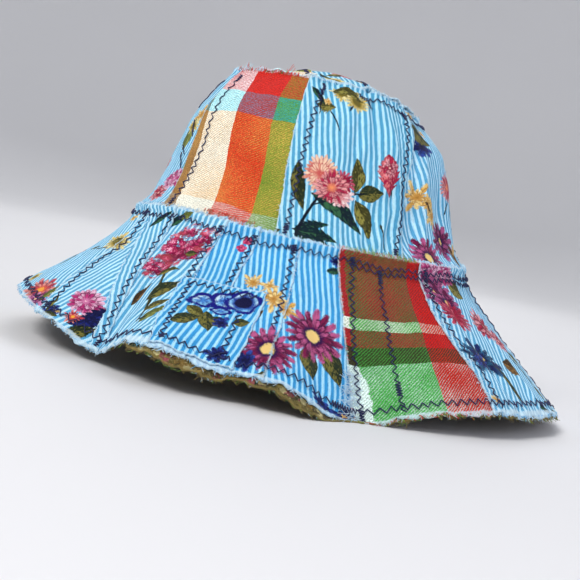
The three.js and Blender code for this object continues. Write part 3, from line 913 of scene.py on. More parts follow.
# Weft dyes, each with how much of the warp shows through it and the tint that it casts over it
PLAIN_TINT = (1.0, 1.0, 1.0)
WEFT_DYES = {
    "white": (dye(230, 240, 228), 0.83, PLAIN_TINT), "yellow": (dye(234, 178, 88), 0.8, PLAIN_TINT),
    "blue": (dye(0, 168, 190), 0.8, (0.66, 1.12, 1.34)), "red": (dye(212, 48, 44), 0.5, (0.98, 0.94, 1.14)),
    "rust": (dye(164, 66, 44), 0.5, (1.0, 0.38, 0.9)), "pine": (dye(62, 62, 34), 0.34, (0.88, 0.8, 1.0)),
    "band": (dye(226, 236, 220), 0.6, PLAIN_TINT), "chalk": (dye(232, 240, 226), 0.8, (0.88, 1.02, 1.08)),
}
TINT_SPAN = 1.3  # tints are held as shares of this, because a ramp's colours end at 1
LAST_BAND = 60.0  # room for the last band, in mm


def band_ramp(p, value, bands, dyes):
    """Bands of colour along a value in mm: each has its start and its colour"""
    low, high = bands[0][0], bands[-1][0] + LAST_BAND
    part = p.math("DIVIDE", value - low, high - low, clamp=True)
    return colour_ramp(p, part, [((start - low) / (high - low), dyes[name]) for start, name in bands])


def cloth_material(name, colour_of, raw=RAW):
    """The finish that all the cloth shares: fuzz, raw edges, weave and small creases"""
    material, p, shader = new_material(name)
    uv = p.node("ShaderNodeUVMap", {}, uv_map="cloth")
    coarse = p.noise(uv, 0.42, 2.0, 1)
    fine = p.noise(uv, 1.7, 2.0, 1, 0.6)
    colour, weave = colour_of(p, uv, coarse, fine)
    fray = p.mark("fray")
    grain = p.parts(fine)
    ends = fray + (grain[1] - 0.5) * 0.9
    colour = p.mix(p.step(ends, 0.35, 0.8) * 0.7, colour, raw)
    colour = p.shaded(colour, 0.84 + p.noise(uv, 0.045, 3.0) * 0.3)
    height = weave * 0.35 + grain[0] * 0.9 + p.parts(coarse)[0] * 2.2
    bump = p.node("ShaderNodeBump", {"Strength": 0.55, "Distance": 0.0004, "Height": height})
    p.plug(shader, {"Base Color": colour, "Normal": bump, "Roughness": 0.93, "Specular IOR Level": 0.12,
                    "Sheen Weight": 0.06, "Sheen Roughness": 0.6})
    return material


# Flowers of the print: petals, gap, rag, heart size, rim, then heart, inner, middle, tip, shade
BLOOM_SOCKETS = ("Petals", "Gap", "Rag", "Heart size", "Rim", "Heart", "Inner", "Middle", "Tip", "Shade")
BLOOMS = {
    "aster": (17, 0.38, 0.14, 0.21, 0.02,
              (240, 206, 128), (28, 12, 72), (126, 22, 70), (192, 90, 140), (44, 10, 48)),
    "plum": (14, 0.34, 0.2, 0.18, 0.02,
             (238, 200, 122), (28, 14, 78), (102, 18, 66), (176, 84, 134), (34, 10, 50)),
    "peach": (23, 0.24, 0.20, 0.0, 0.02,
              (232, 168, 120), (208, 96, 86), (232, 156, 128), (246, 212, 180), (190, 74, 84)),
    "mum": (23, 0.28, 0.24, 0.08, 0.02,
            (238, 150, 96), (232, 132, 98), (186, 40, 74), (236, 160, 160), (116, 14, 50)),
    "blush": (15, 0.34, 0.25, 0.0, 0.02,
              (240, 190, 180), (224, 130, 140), (240, 192, 190), (250, 228, 224), (196, 90, 110)),
    "crimson": (17, 0.38, 0.25, 0.0, 0.02,
                (190, 40, 70), (190, 50, 76), (164, 24, 60), (206, 84, 108), (100, 10, 44)),
    "ink": (7, 0.42, 0.35, 0.0, 0.02,
            (20, 20, 80), (12, 16, 66), (22, 30, 104), (44, 74, 164), (8, 10, 44)),
    "pink": (16, 0.2, 0.14, 0.05, 0.02,
             (240, 196, 210), (212, 120, 168), (190, 48, 118), (236, 184, 212), (98, 14, 70)),
    "coral": (14, 0.40, 0.34, 0.16, 0.02,
              (240, 170, 60), (214, 84, 60), (190, 60, 76), (232, 150, 140), (90, 20, 56)),
    "red": (13, 0.36, 0.34, 0.10, 0.02,
            (240, 180, 170), (130, 16, 52), (186, 36, 70), (234, 160, 168), (84, 10, 40)),
    "yellow": (15, 0.42, 0.36, 0.30, 0.02,
               (112, 100, 36), (160, 136, 52), (224, 194, 100), (244, 230, 164), (118, 102, 40)),
    "gold": (12, 0.5, 0.6, 0.06, 0.02,
             (172, 122, 54), (196, 142, 66), (230, 180, 92), (246, 218, 146), (150, 104, 50)),
    "pansy": (4, 0.22, 0.14, 0.42, 0.30,
              (12, 14, 60), (26, 44, 140), (96, 170, 226), (188, 226, 246), (18, 22, 124)),
    "sky": (4, 0.22, 0.18, 0.0, 0.42,
            (90, 170, 232), (70, 140, 220), (134, 200, 240), (196, 230, 248), (18, 22, 124)),
    "navy": (11, 0.50, 0.34, 0.16, 0.02,
             (226, 200, 112), (12, 14, 60), (14, 36, 98), (30, 92, 132), (8, 10, 40)),
    "berry": (4, 0.25, 0.16, 0.0, 0.02,
              (190, 30, 90), (190, 30, 90), (196, 40, 96), (222, 100, 140), (120, 10, 60)),
    "dusk": (11, 0.42, 0.34, 0.12, 0.02,
             (240, 190, 150), (66, 20, 86), (142, 36, 92), (218, 140, 184), (46, 12, 64)),
}
# The head of many small florets: florets along it, light, middle, dark, heart
CLUSTER_SOCKETS = ("Florets", "Light", "Middle", "Dark", "Heart")
CLUSTER = (2.7, (242, 176, 200), (202, 46, 106), (112, 10, 54), (216, 100, 96))
LEAF_SOCKETS = ("Light", "Dark", "Rib")
# Leaves and stems: light, dark, rib
LEAVES = {
    "olive": ((146, 140, 66), (66, 64, 26), (30, 34, 20)),
    "brown": ((142, 104, 54), (62, 46, 28), (32, 28, 22)),
    "moss": ((124, 118, 54), (38, 50, 30), (18, 28, 26)),
    "green": ((50, 100, 66), (6, 34, 44), (4, 18, 30)),
    "lime": ((146, 152, 74), (86, 98, 40), (48, 60, 30)),
    "navy": ((28, 40, 118), (14, 18, 66), (8, 10, 36)),
    "stem": ((24, 44, 56), (14, 26, 42), (10, 18, 32)),
    "twig": ((88, 90, 50), (44, 54, 38), (30, 34, 26)),
    "rose": ((226, 120, 124), (170, 30, 66), (110, 14, 46)),
}
STEM_RATIO = 0.2  # narrower than this to its length, it is a stem with blunt ends
STEM_BLUNT, LEAF_BLUNT = 8.0, 1.8

# The print's motifs on each patch: kind, angle, share, half length in mm, width to length,
# turn on the cloth, and for a leaf its bend and jag. On the top, its place across and up the
# cloth in mm stands for angle and share.
MOTIFS = {
    "crown_front": [
        ("red", 13, 0.10, 13, 0.6, 0), ("pink", 18.6, 0.215, 13, 0.62, 0), ("red", -2, 0.3, 8, 0.8, 60),
        ("gold", 13, 0.68, 13, 0.56, 0), ("lime", 10, 0.54, 11, 0.6, 100, 0.1, 0.2),
        ("yellow", 9, 0.6, 10, 0.6, 0), ("green", -14, 0.40, 9, 0.28, -60, 0.15, 0),
        ("mum", -3, 0.86, 9, 0.85, 40), ("moss", -13, 0.80, 7, 0.35, 200, -0.1, 0),
        ("twig", -10, 0.25, 10, 0.045, 70, 0.1, 0),
    ],
    "crown_mum": [
        ("olive", 104.2, 0.205, 11.8, 0.40, -64, 0.14, 0),
        ("green", 92.8, 0.208, 18.6, 0.29, -31, 0.16, 0.06),
        ("moss", 76.6, 0.335, 14.4, 0.29, -78, -0.12, 0),
        ("olive", 99.6, 0.465, 10.4, 0.44, 92, -0.18, 0), ("moss", 107.4, 0.365, 7.4, 0.68, 14, 0.08, 0),
        ("green", 83.6, 0.098, 10.2, 0.36, 17, 0.1, 0.3),
        ("green", 85.4, 0.05, 13.2, 0.38, -9, 0.1, 0.34), ("green", 86, 0.0, 13.2, 0.4, -22, 0.1, 0.3),
        ("stem", 81.4, 0.165, 16.6, 0.056, 66, 0.06, 0), ("stem", 85.4, 0.25, 6, 0.08, 26, 0.1, 0),
        ("stem", 101.6, 0.355, 4.5, 0.12, 16, 0, 0), ("blush", 93.6, 0.315, 8.6, 0.9, 0),
        ("crimson", 93.4, 0.405, 9.4, 0.9, 20), ("peach", 83.6, 0.435, 11.6, 0.98, 15),
        ("mum", 89.2, 0.36, 11.6, 0.95, -25), ("rose", 114.4, 0.505, 12.8, 0.56, -82, 0, 0.3),
        ("red", 114.2, 0.55, 6.6, 0.9, 30), ("stem", 116.3, 0.40, 2.6, 0.2, -80, 0, 0),
        ("yellow", 89, 0.95, 8.5, 0.7, -10), ("yellow", 98, 0.925, 10.4, 0.78, -16),
        ("olive", 91, 0.965, 8.0, 0.4, 6, 0.2, 0.2), ("olive", 97, 0.95, 6.0, 0.36, -14, 0.1, 0.3),
        ("olive", 80.4, 0.86, 5.6, 0.9, 0, 0, 0.4), ("gold", 81, 0.893, 4.0, 0.8, 0),
        ("stem", 86.2, 0.775, 6.8, 0.06, -64, 0.08, 0), ("green", 74.8, 0.915, 6.8, 0.3, -52, 0.05, 0),
        ("stem", 77, 0.885, 9.5, 0.05, -96, 0, 0), ("stem", 94.5, 0.875, 3, 0.2, 60, 0, 0),
        ("twig", 112.5, 0.12, 8, 0.06, -72, 0, 0), ("moss", 71.5, 0.03, 3.2, 0.4, 30, 0, 0),
    ],
    "crown_back": [
        ("gold", 132, 0.41, 13.5, 0.8, 25), ("gold", 141.5, 0.31, 12, 0.85, -30),
        ("gold", 137, 0.37, 9, 0.85, -60), ("brown", 137.5, 0.36, 4.6, 0.3, -40, 0, 0.3),
        ("ink", 138, 0.765, 17, 0.46, 0), ("moss", 138.6, 0.85, 13, 0.6, -14, 0.1, 0.1),
        ("gold", 146, 1.0, 8, 0.5, 0), ("aster", 134.2, 0.045, 15.5, 0.9, 10),
        ("plum", 149.5, 0.165, 14.6, 0.9, 0), ("brown", 156.5, 0.06, 9.5, 0.34, -70, 0.1, 0),
        ("gold", 159, 0.12, 6, 0.7, 40), ("olive", 142.5, 0.93, 5.6, 0.32, -60, 0.1, 0),
        ("gold", 148, 0.9, 5, 0.7, 20), ("mum", 161, 0.52, 11, 0.9, 30),
        ("olive", 164.5, 0.36, 9, 0.3, 110, 0.1, 0), ("stem", 158.5, 0.40, 7, 0.08, 60, 0, 0),
    ],
    "crown_far_back": [
        ("pink", 224, 0.6, 11, 0.9, 20), ("olive", 232, 0.5, 9, 0.32, -40, 0.1, 0),
        ("green", 218.5, 0.47, 9, 0.3, 230, 0.1, 0), ("stem", 228, 0.42, 12, 0.05, -75, 0.05, 0),
        ("gold", 243, 0.78, 7, 0.7, 20), ("gold", 247, 0.72, 6, 0.7, -20),
        ("aster", 246, 0.22, 12.5, 0.92, 0), ("moss", 238.5, 0.13, 8, 0.36, 200, 0.1, 0),
        ("red", 226, 0.16, 7.5, 0.8, 60), ("yellow", 228, 0.95, 7.5, 0.65, 0),
    ],
    "brim_front": [
        ("coral", 16.5, 0.885, 17, 0.72, 0), ("dusk", 19, 0.955, 9, 0.9, 0),
        ("lime", 20.3, 0.86, 8, 0.26, 108, 0.05, 0), ("yellow", 17.8, 0.31, 16, 0.54, 0),
        ("olive", 16.5, 0.3, 5, 0.4, 30, 0.1, 0.3), ("gold", 10.5, 0.1, 8, 0.6, 25),
        ("stem", 13.5, 0.4, 6.5, 0.08, 20, 0, 0), ("moss", 9, 0.42, 4.5, 0.3, 40, 0, 0),
        ("mum", -3, 0.5, 12, 0.9, 0), ("olive", 3.4, 0.62, 9, 0.3, -50, 0.1, 0),
        ("green", -9, 0.66, 9, 0.3, 220, 0.1, 0), ("stem", -1.5, 0.72, 10, 0.06, -80, 0.08, 0),
        ("gold", -10, 0.28, 6, 0.75, 0), ("pansy", -8, 0.88, 9, 0.8, 20), ("yellow", 6, 0.87, 7, 0.8, 0),
    ],
    "brim_chevron": [
        ("pink", 31.1, 0.775, 11.6, 0.8, 10), ("navy", 35.5, 0.805, 12.5, 0.38, 66, 0, 0.4),
        ("navy", 34.4, 0.88, 9, 0.5, 44, 0, 0.3), ("coral", 31.6, 0.9, 6, 0.8, 30),
        ("moss", 35, 0.95, 8.6, 0.42, 60, 0.1, 0.2), ("ink", 26.4, 0.95, 8.0, 0.6, 40),
        ("moss", 27.2, 0.975, 5.4, 0.5, 20, 0, 0.2), ("gold", 28, 0.93, 2.6, 0.8, 0),
        ("olive", 24.8, 0.9, 7, 0.25, 110, 0.05, 0), ("yellow", 17.8, 0.31, 16, 0.54, 0),
    ],
    "brim_hydrangea": [
        ("moss", 46.2, 0.5, 9, 0.1, -70, 0.08, 0), ("moss", 48.6, 0.71, 11.8, 0.07, -72, -0.06, 0),
        ("cluster", 41.6, 0.355, 12, 0.66, 40), ("cluster", 45.2, 0.195, 16.6, 0.74, 34),
        ("moss", 48.2, 0.245, 3.4, 0.7, 20, 0, 0.2), ("olive", 45.4, 0.40, 7, 0.3, 30, 0.1, 0),
        ("moss", 49, 0.535, 11, 0.4, 60, 0.14, 0), ("brown", 42, 0.575, 8.4, 0.3, 66, 0.1, 0),
        ("lime", 52.2, 0.75, 8.6, 0.44, 66, 0.1, 0), ("olive", 50.6, 0.66, 7.6, 0.42, 44, 0.1, 0),
        ("stem", 50.4, 0.79, 3.4, 0.3, 30, 0, 0), ("green", 36.5, 0.06, 9.5, 0.26, 44, 0.05, 0),
        ("lime", 39, 0.02, 5, 0.5, 30, 0, 0.3),
    ],
    "brim_wedge": [("green", 29, 0.08, 9, 0.26, 48, 0.1, 0)],
    "brim_bud": [
        ("berry", 63.2, 0.065, 3.2, 0.8, 40), ("berry", 62, 0.118, 3.3, 0.75, 10),
        ("stem", 64, 0.04, 3, 0.1, 60, 0, 0),
    ],
    "brim_blossom": [
        ("gold", 69.8, 0.325, 8.6, 0.85, -30), ("gold", 74.6, 0.33, 6.2, 0.8, 30),
        ("gold", 76.6, 0.42, 10.4, 0.9, -30), ("gold", 80.4, 0.475, 10.4, 0.8, -40),
        ("aster", 78.4, 0.79, 17.2, 0.98, 10), ("ink", 74.6, 0.89, 8.4, 0.9, 80),
        ("brown", 74, 0.55, 4, 0.4, 60, 0, 0), ("olive", 80, 0.96, 8, 0.3, 20, 0, 0.2),
    ],
    "brim_aster": [
        ("gold", 80.4, 0.475, 10.4, 0.8, -40), ("aster", 78.4, 0.79, 17.2, 0.98, 10),
        ("moss", 88, 0.765, 9.4, 0.6, -74, 0, 0), ("moss", 93.6, 0.72, 10.5, 0.55, -54, 0.1, 0),
        ("aster", 88.3, 0.585, 17.6, 0.98, 0), ("ink", 91.5, 0.955, 8.5, 0.5, -12),
        ("ink", 96.8, 0.965, 8.6, 0.6, 12), ("gold", 97, 0.962, 2.4, 0.8, 0),
        ("green", 93.6, 0.13, 4.5, 0.6, 10, 0, 0.4), ("ink", 94, 0.07, 4.2, 0.8, -20),
    ],
    "brim_back": [
        ("olive", 145, 0.14, 9, 0.7, -28, 0.1, 0), ("pink", 139, 0.045, 14, 0.55, 0),
        ("pink", 133, 0.055, 13, 0.7, 0), ("plum", 133, 0.175, 16, 0.8, -30),
        ("plum", 136.4, 0.235, 14, 0.7, -40), ("crimson", 137, 0.315, 14.5, 0.7, -30),
        ("red", 151, 0.375, 18, 0.8, 0), ("red", 157, 0.475, 14, 0.7, 0),
        ("olive", 158, 0.62, 9, 0.4, -50, 0.1, 0), ("moss", 141.4, 0.77, 14, 0.15, -84, 0.1, 0),
        ("navy", 137, 0.605, 20, 0.72, 0), ("ink", 136, 0.63, 9, 0.8, 40),
        ("brown", 149, 0.675, 8, 0.8, -40, 0, 0.2), ("moss", 155, 0.72, 15, 0.08, -76, 0.08, 0),
        ("olive", 157, 0.9, 12, 0.5, -50, 0.1, 0.3), ("gold", 131.2, 0.905, 5, 0.7, 30),
        ("green", 150, 0.95, 9, 0.3, -50, 0.1, 0),
    ],
    "brim_far_back": [
        ("aster", 224, 0.36, 15, 0.95, 0), ("moss", 229, 0.5, 9, 0.4, -50, 0.1, 0),
        ("moss", 220, 0.52, 8.5, 0.4, -110, 0, 0), ("peach", 235, 0.72, 12.5, 0.92, 0),
        ("mum", 238, 0.755, 10, 0.85, 20), ("brown", 228.5, 0.75, 10, 0.28, 200, 0.1, 0),
        ("stem", 234, 0.87, 9, 0.06, -70, 0.1, 0), ("gold", 240, 0.2, 6.5, 0.75, 0),
        ("gold", 243, 0.27, 6, 0.75, 30), ("navy", 219, 0.84, 10, 0.8, 20),
        ("red", 243, 0.48, 6.5, 0.8, 20), ("berry", 218.5, 0.1, 3.3, 0.8, 0),
    ],
    "brim_far_floral": [
        ("cluster", 311, 0.36, 14, 0.8, 20), ("stem", 313.5, 0.55, 10, 0.06, -66, 0.1, 0),
        ("olive", 318, 0.52, 8, 0.3, 40, 0.1, 0), ("lime", 309.5, 0.66, 8, 0.32, 120, 0.1, 0),
        ("coral", 319, 0.79, 10.5, 0.9, 0), ("green", 311.5, 0.87, 9, 0.28, 160, 0.1, 0),
        ("yellow", 320, 0.16, 7.5, 0.8, 0), ("pansy", 307.5, 0.12, 6.5, 0.8, 0),
    ],
    "top_middle": [
        ("yellow", 36, -4, 9.5, 0.85, 20), ("olive", 42, 6, 7, 0.34, 60, 0.1, 0),
        ("green", 27, -9, 7.5, 0.3, 200, 0.1, 0), ("mum", 6, 4, 12, 0.92, 0),
        ("peach", 1, 1, 10, 0.92, 0), ("olive", 17, -3, 9, 0.3, -40, 0.1, 0),
        ("green", -9, -8, 10, 0.28, 210, 0.1, 0), ("stem", -2, -12, 7, 0.08, 60, 0, 0),
        ("aster", -30, 3, 12, 0.95, 0), ("moss", -20, 12, 7, 0.4, 50, 0.1, 0),
        ("gold", 20, 13, 5.5, 0.75, 0), ("gold", -40, -11, 5.5, 0.75, 0),
    ],
    "pansy": [
        ("moss", 60, 0.745, 8, 0.5, 40, 0.1, 0), ("moss", 64, 0.705, 7.4, 0.6, -66, 0, 0),
        ("olive", 60.6, 0.66, 6, 0.6, -20, 0, 0), ("moss", 66.2, 0.685, 6, 0.6, -10, 0, 0),
        ("moss", 71, 0.645, 4.4, 0.7, 30, 0, 0), ("sky", 60.4, 0.56, 9.2, 0.72, 14),
        ("sky", 65, 0.515, 9.4, 0.82, 60), ("pansy", 69.6, 0.495, 10.6, 0.84, 20),
        ("sky", 65.4, 0.6, 6.6, 0.55, 6), ("ink", 66.8, 0.685, 5.8, 0.9, -40),
        ("ink", 69, 0.905, 8.2, 0.95, -20),
    ],
}


def motif_place(patch, angle, share):
    """Where a motif lies on the flat cloth"""
    if patch is None:
        return angle, share
    across, up = patch.cloth_place(angle, share)
    return float(across), float(up)


def named(names, values):
    """Socket values by name, colours as dyes"""
    return {name: dye(*value) if isinstance(value, tuple) else float(value)
            for name, value in zip(names, values)}


def paint_motif(p, groups, colour, drawn, grain, motif, at):
    kind, _, _, half, ratio, turn, *leaf = motif
    place_on = {"Vector": drawn, "Location": (at[0], at[1], 0), "Rotation": (0, 0, math.radians(turn)),
                "Scale": (half, half if leaf else half * ratio, 1)}
    sockets = {"Place": p.node("ShaderNodeMapping", place_on, vector_type="TEXTURE"), "Grain": grain}
    if leaf:
        blunt = STEM_BLUNT if ratio < STEM_RATIO else LEAF_BLUNT
        sockets.update(Width=ratio, Bend=leaf[0], Jag=leaf[1], Blunt=blunt)
        made = p.group(groups["leaf"], {**sockets, **named(LEAF_SOCKETS, LEAVES[kind])})
    elif kind == "cluster":
        made = p.group(groups["cluster"], {**sockets, **named(CLUSTER_SOCKETS, CLUSTER)})
    else:
        sockets["Seed"] = round(at[0] * 3.0 + at[1]) + 0.5
        made = p.group(groups["bloom"], {**sockets, **named(BLOOM_SOCKETS, BLOOMS[kind])})
    return p.mix(made["Mask"], colour, made["Colour"])


NO_SHIFT = (1e-7, 1e-7, 1e-7)


def striped_material(name, groups, patch):
    """Ticking with its stripes leaning by an angle, and the print's motifs over it"""
    kind = "faded" if name in FADED else "brim" if name.startswith(("brim", "pansy")) else "crown"
    blue, pale, cream = TICKING[kind]

    def colour_of(p, uv, coarse, fine):
        leaning = p.node("ShaderNodeMapping", {"Vector": uv, "Rotation": (0, 0, math.radians(LEAN[name]))})
        wavy = p.shift(p.shift(leaning, coarse, 0.5), p.noise(uv, 0.04, 1.0, 1), 2.8)
        made = p.group(groups["ticking"], {"Place": wavy, "Grain": fine, "Blue": blue, "Pale": pale,
                                           "Cream": cream})
        colour = made["Colour"]
        drawn = p.shift(p.shift(uv, coarse, 1.1), fine, 0.95)
        for motif in MOTIFS.get(name, []):
            at = motif_place(patch, motif[1], motif[2])
            colour = paint_motif(p, groups, colour, drawn, fine, motif, at)
            # one motif waits for the last, so that the renderer's short memory holds them all
            drawn = p.node("ShaderNodeVectorMath", {0: colour, 1: NO_SHIFT, 2: drawn},
                           operation="MULTIPLY_ADD")
        return colour, made["Height"]
    return cloth_material(name, colour_of)


TWILL = 1.7  # from rib to rib of the checked cloth, measured up it
TWILL_LEAN = 0.9
DOTS = 1.1  # from thread to thread across the ribs
RAW_LOW, RAW_LOWEST, RAW_WIDER = -56.0, -76.0, 6.5  # where and by how much the raw side widens


def madras_material(name, warp, weft, lean, raw_side):
    """Checked twill: bands of warp across and of weft up, showing in fine diagonal ribs. Up to
    its raw side, in mm from the seam, the warp has come out and the weft shows alone."""
    weft_dyes, shares, tints = {}, {}, {}
    for key, (colour, share, tint) in WEFT_DYES.items():
        weft_dyes[key] = colour
        shares[key] = (share, share, share, 1.0)
        tints[key] = tuple(part / TINT_SPAN for part in tint) + (1.0,)

    def colour_of(p, uv, coarse, fine):
        broad = p.noise(uv, 0.035, 1.0, 1)
        x, y, _ = p.parts(p.shift(p.shift(p.shift(uv, fine, 0.4), coarse, 0.8), broad, 3.5))
        warp_colour = band_ramp(p, x + y * lean, warp, WARP_DYES)
        weft_colour = band_ramp(p, y, weft, weft_dyes)
        share = p.parts(band_ramp(p, y, weft, shares))[0]
        tint = band_ramp(p, y, weft, tints)
        rib = p.math("SINE", (y - x * TWILL_LEAN) * (math.tau / TWILL))
        dots = p.math("SINE", (y + x) * (math.tau / DOTS))
        grain = p.parts(p.noise(uv, 1.6, 1.5, 1, 0.6))
        show = rib * 0.48 + (dots * 0.15 + (grain[1] - 0.5) * 1.7)
        drift = (p.parts(broad)[2] - 0.5) * 1.1
        show = p.math("ADD", share + drift, show * 0.8, clamp=True)
        if raw_side is not None:
            widening = p.step(y, RAW_LOW, RAW_LOWEST) * RAW_WIDER
            edge = raw_side + widening + (p.parts(coarse)[1] - 0.5) * 4.0
            show = show * p.step(p.mark("side") - edge, 0.0, 0.8)
        colour = p.mix(1.0, p.mix(show, weft_colour, warp_colour), tint, "MULTIPLY")
        light = (0.97 + ((grain[2] - 0.5) * 2.2 + rib * 0.2)) * TINT_SPAN
        return p.shaded(colour, light), rib
    return cloth_material(name, colour_of)


# Tones of the facing's print, each with the chance that it starts from
FACING_TONES = [
    (0.0, dye(124, 108, 50)), (0.22, dye(74, 60, 26)), (0.4, dye(34, 50, 40)), (0.55, dye(156, 124, 62)),
    (0.68, dye(96, 52, 30)), (0.78, dye(214, 202, 146)), (0.92, dye(150, 60, 80)),
]
FACING_VEIN, FACING_SPECK, FACING_RAW = dye(40, 38, 22), dye(206, 190, 132), dye(134, 120, 70)


def facing_material():
    """A crowded print of olive, brown and dark green leaves"""
    def colour_of(p, uv, coarse, fine):
        apart, (pick, other, _) = p.cells(p.shift(uv, coarse, 5.0), 0.26, 0.9)
        colour = colour_ramp(p, pick, FACING_TONES)
        vein = p.math("SINE", apart * 2.6)
        colour = p.mix(p.step(vein, 0.5, 1.0) * 0.6, colour, FACING_VEIN)
        speck = p.parts(fine)[1]
        return p.mix(p.step(speck, 0.5, 0.75) * 0.5, colour, FACING_SPECK), other
    return cloth_material("dark_print", colour_of, FACING_RAW)


def thread_material(name, colour):
    """Spun thread: a fine twist along it and uneven colour"""
    material, p, shader = new_material(name)
    fuzz = p.noise(p.node("ShaderNodeTexCoord", {}, "Object"), 2600.0, 2.0)
    bump = p.node("ShaderNodeBump", {"Strength": 0.5, "Distance": 0.0001, "Height": fuzz})
    p.plug(shader, {"Base Color": p.shaded(colour, 0.7 + fuzz * 0.6), "Normal": bump, "Roughness": 0.8,
                    "Sheen Weight": 0.1})
    return material


# Threads

def thread_piece(name, lines, thickness, material):
    """Many short threads as one mesh of thin closed tubes"""
    data = bpy.data.curves.new(name, "CURVE")
    data.dimensions = "3D"
    data.bevel_depth = thickness / 2 * MM
    data.bevel_resolution = 0
    data.use_fill_caps = True
    for line in lines:
        spline = data.splines.new("POLY")
        spline.points.add(len(line) - 1)
        flat = np.ones((len(line), 4))
        flat[:, :3] = np.array(line) * MM
        spline.points.foreach_set("co", flat.ravel())
    route = bpy.data.objects.new(name + "_route", data)
    bpy.context.scene.collection.objects.link(route)
    mesh = bpy.data.meshes.new_from_object(route.evaluated_get(bpy.context.evaluated_depsgraph_get()))
    bpy.data.objects.remove(route)
    mesh.name = name
    mesh.materials.clear()
    for polygon in mesh.polygons:
        polygon.use_smooth = True
    return link_piece(name, mesh, material)


ZIGZAG_WIDTH = 3.2
ZIGZAG_PITCH = 5.0
THREAD, FRINGE_THREAD = 0.68, 0.24  # thickness of the stitching's thread and of the frayed ones
SEAM_STITCH_LIFT = THREAD * 0.45 + 0.16
# How wide and how far apart stitches fall, as shares: least and most, and how far at a tack
STITCH_SPREAD, STITCH_PACE, TACK_PACE = (0.8, 1.1), (0.75, 1.2), 0.3


def on_line(at, runs, line):
    """The points so far along a line"""
    return np.stack([np.interp(at, runs, line[:, axis]) for axis in range(3)], -1)


def zigzag(point_of, path, seed, width=ZIGZAG_WIDTH, pitch=ZIGZAG_PITCH, tacks=()):
    """The corners of a zigzag along a path of surface places, closer together at its tacks"""
    draw = random.Random(seed)
    a, b = np.array(path, float).T
    line = point_of(a, b)
    runs = runs_along(line)
    spots, sides = [], []
    at, side = 0.4, 1
    while at < runs[-1]:
        part = at / runs[-1]
        dense = any(low <= part <= high for low, high in tacks)
        spots.append(at)
        sides.append(side * width / 2 * draw.uniform(*STITCH_SPREAD))
        at += pitch / 2 * (TACK_PACE if dense else draw.uniform(*STITCH_PACE))
        side = -side
    # points just inside both ends of each stitch keep the thread round where it turns
    parts = np.array([0.06, 0.5, 0.94])
    middle = (np.array(spots[:-1])[:, None] + np.diff(spots)[:, None] * parts).ravel()
    offset = (np.array(sides[:-1])[:, None] + np.diff(sides)[:, None] * parts).ravel()
    angle, share = np.interp(middle, runs, a), np.interp(middle, runs, b)
    tangent = on_line(middle + 1.0, runs, line) - on_line(middle - 1.0, runs, line)
    step_a, step_b = 0.05, 0.0025
    side_a = (point_of(angle + step_a, share) - point_of(angle - step_a, share)) / (2 * step_a)
    side_b = (point_of(angle, share + step_b) - point_of(angle, share - step_b)) / (2 * step_b)
    out = np.cross(side_a, side_b)
    across = np.cross(tangent, out)
    across = across / np.linalg.norm(across, axis=1, keepdims=True)
    # the surface measures that give a step across of one mm
    fit = np.stack([side_a, side_b], -1)
    solve = np.linalg.pinv(fit) @ across[..., None]
    return point_of(angle + solve[:, 0, 0] * offset, share + solve[:, 1, 0] * offset)


def seam_path(stitch, low, high, steps=60):
    shares = np.linspace(low, high, steps)
    return np.stack([seam_angle(stitch, shares), shares], -1)


def stitch_lines(patches):
    """The zigzags beside the seams between patches"""
    lines = []
    for part, rows in PARTS.items():
        for index, (name, _, seam, stitch, to) in enumerate(rows):
            if stitch is None:
                continue
            mine, before = patches[part][index], patches[part][index - 1]
            owner = mine if stitch[2] > seam[2] else before
            turn = 360 if owner is before and index == 0 else 0
            path = seam_path([angle + turn for angle in stitch], 0.02, min(to, 0.975))
            tacks = ((0, 0.05), (0.93, 1)) if index % 2 else ((0, 0.08),)
            lines.append(zigzag(lambda a, b: owner.point(a, b, SEAM_STITCH_LIFT), path, name + part,
                                tacks=tacks))
    return lines


# Zigzags that run round, two below the crown, one along the hem and one below the top seam:
# part, share, start and end angle, lift, tacks, width, pitch
RINGS = [
    ("brim", 0.052, 0, 360, 0.95, ((0.213, 0.222),), 2.8, 4.8),
    ("brim", 0.088, 98, 164, 0.85, (), 2.8, 4.6),
    ("brim", 0.925, -3, 357, 0.85, ((0.268, 0.285),), 3.6, 5.8),
    ("crown", 0.962, 106, 352, 0.85, (), 2.8, 4.6),
]


def ring_lines():
    lines = []
    for part, share, start, end, lift, tacks, width, pitch in RINGS:
        angles = np.linspace(start, end, 500)
        wander = share + 0.008 * np.sin(np.radians(angles) * 7) + 0.005 * np.sin(np.radians(angles) * 17)
        path = np.stack([angles, wander], -1)
        lines.append(zigzag(lambda a, b: settle(part, a, b, lift), path, share, width, pitch, tacks))
    return lines


# Short thick tacks near the crown's top seam: where they run, with their seed
TACKS = [([(99.5, 0.985), (103, 0.965), (108.5, 0.92)], 31), ([(75.5, 1.0), (77, 0.97), (76, 0.93)], 32)]
TACK_WIDTH, TACK_LIFT = 1.9, 0.9
SECOND_ROW = [110.5, 109.4, 109.2, 109.4, 109.6]  # of stitching on the checked patch, as a seam


def find_patch(patches, part, name):
    return next(patch for patch in patches[part] if patch.name == name)


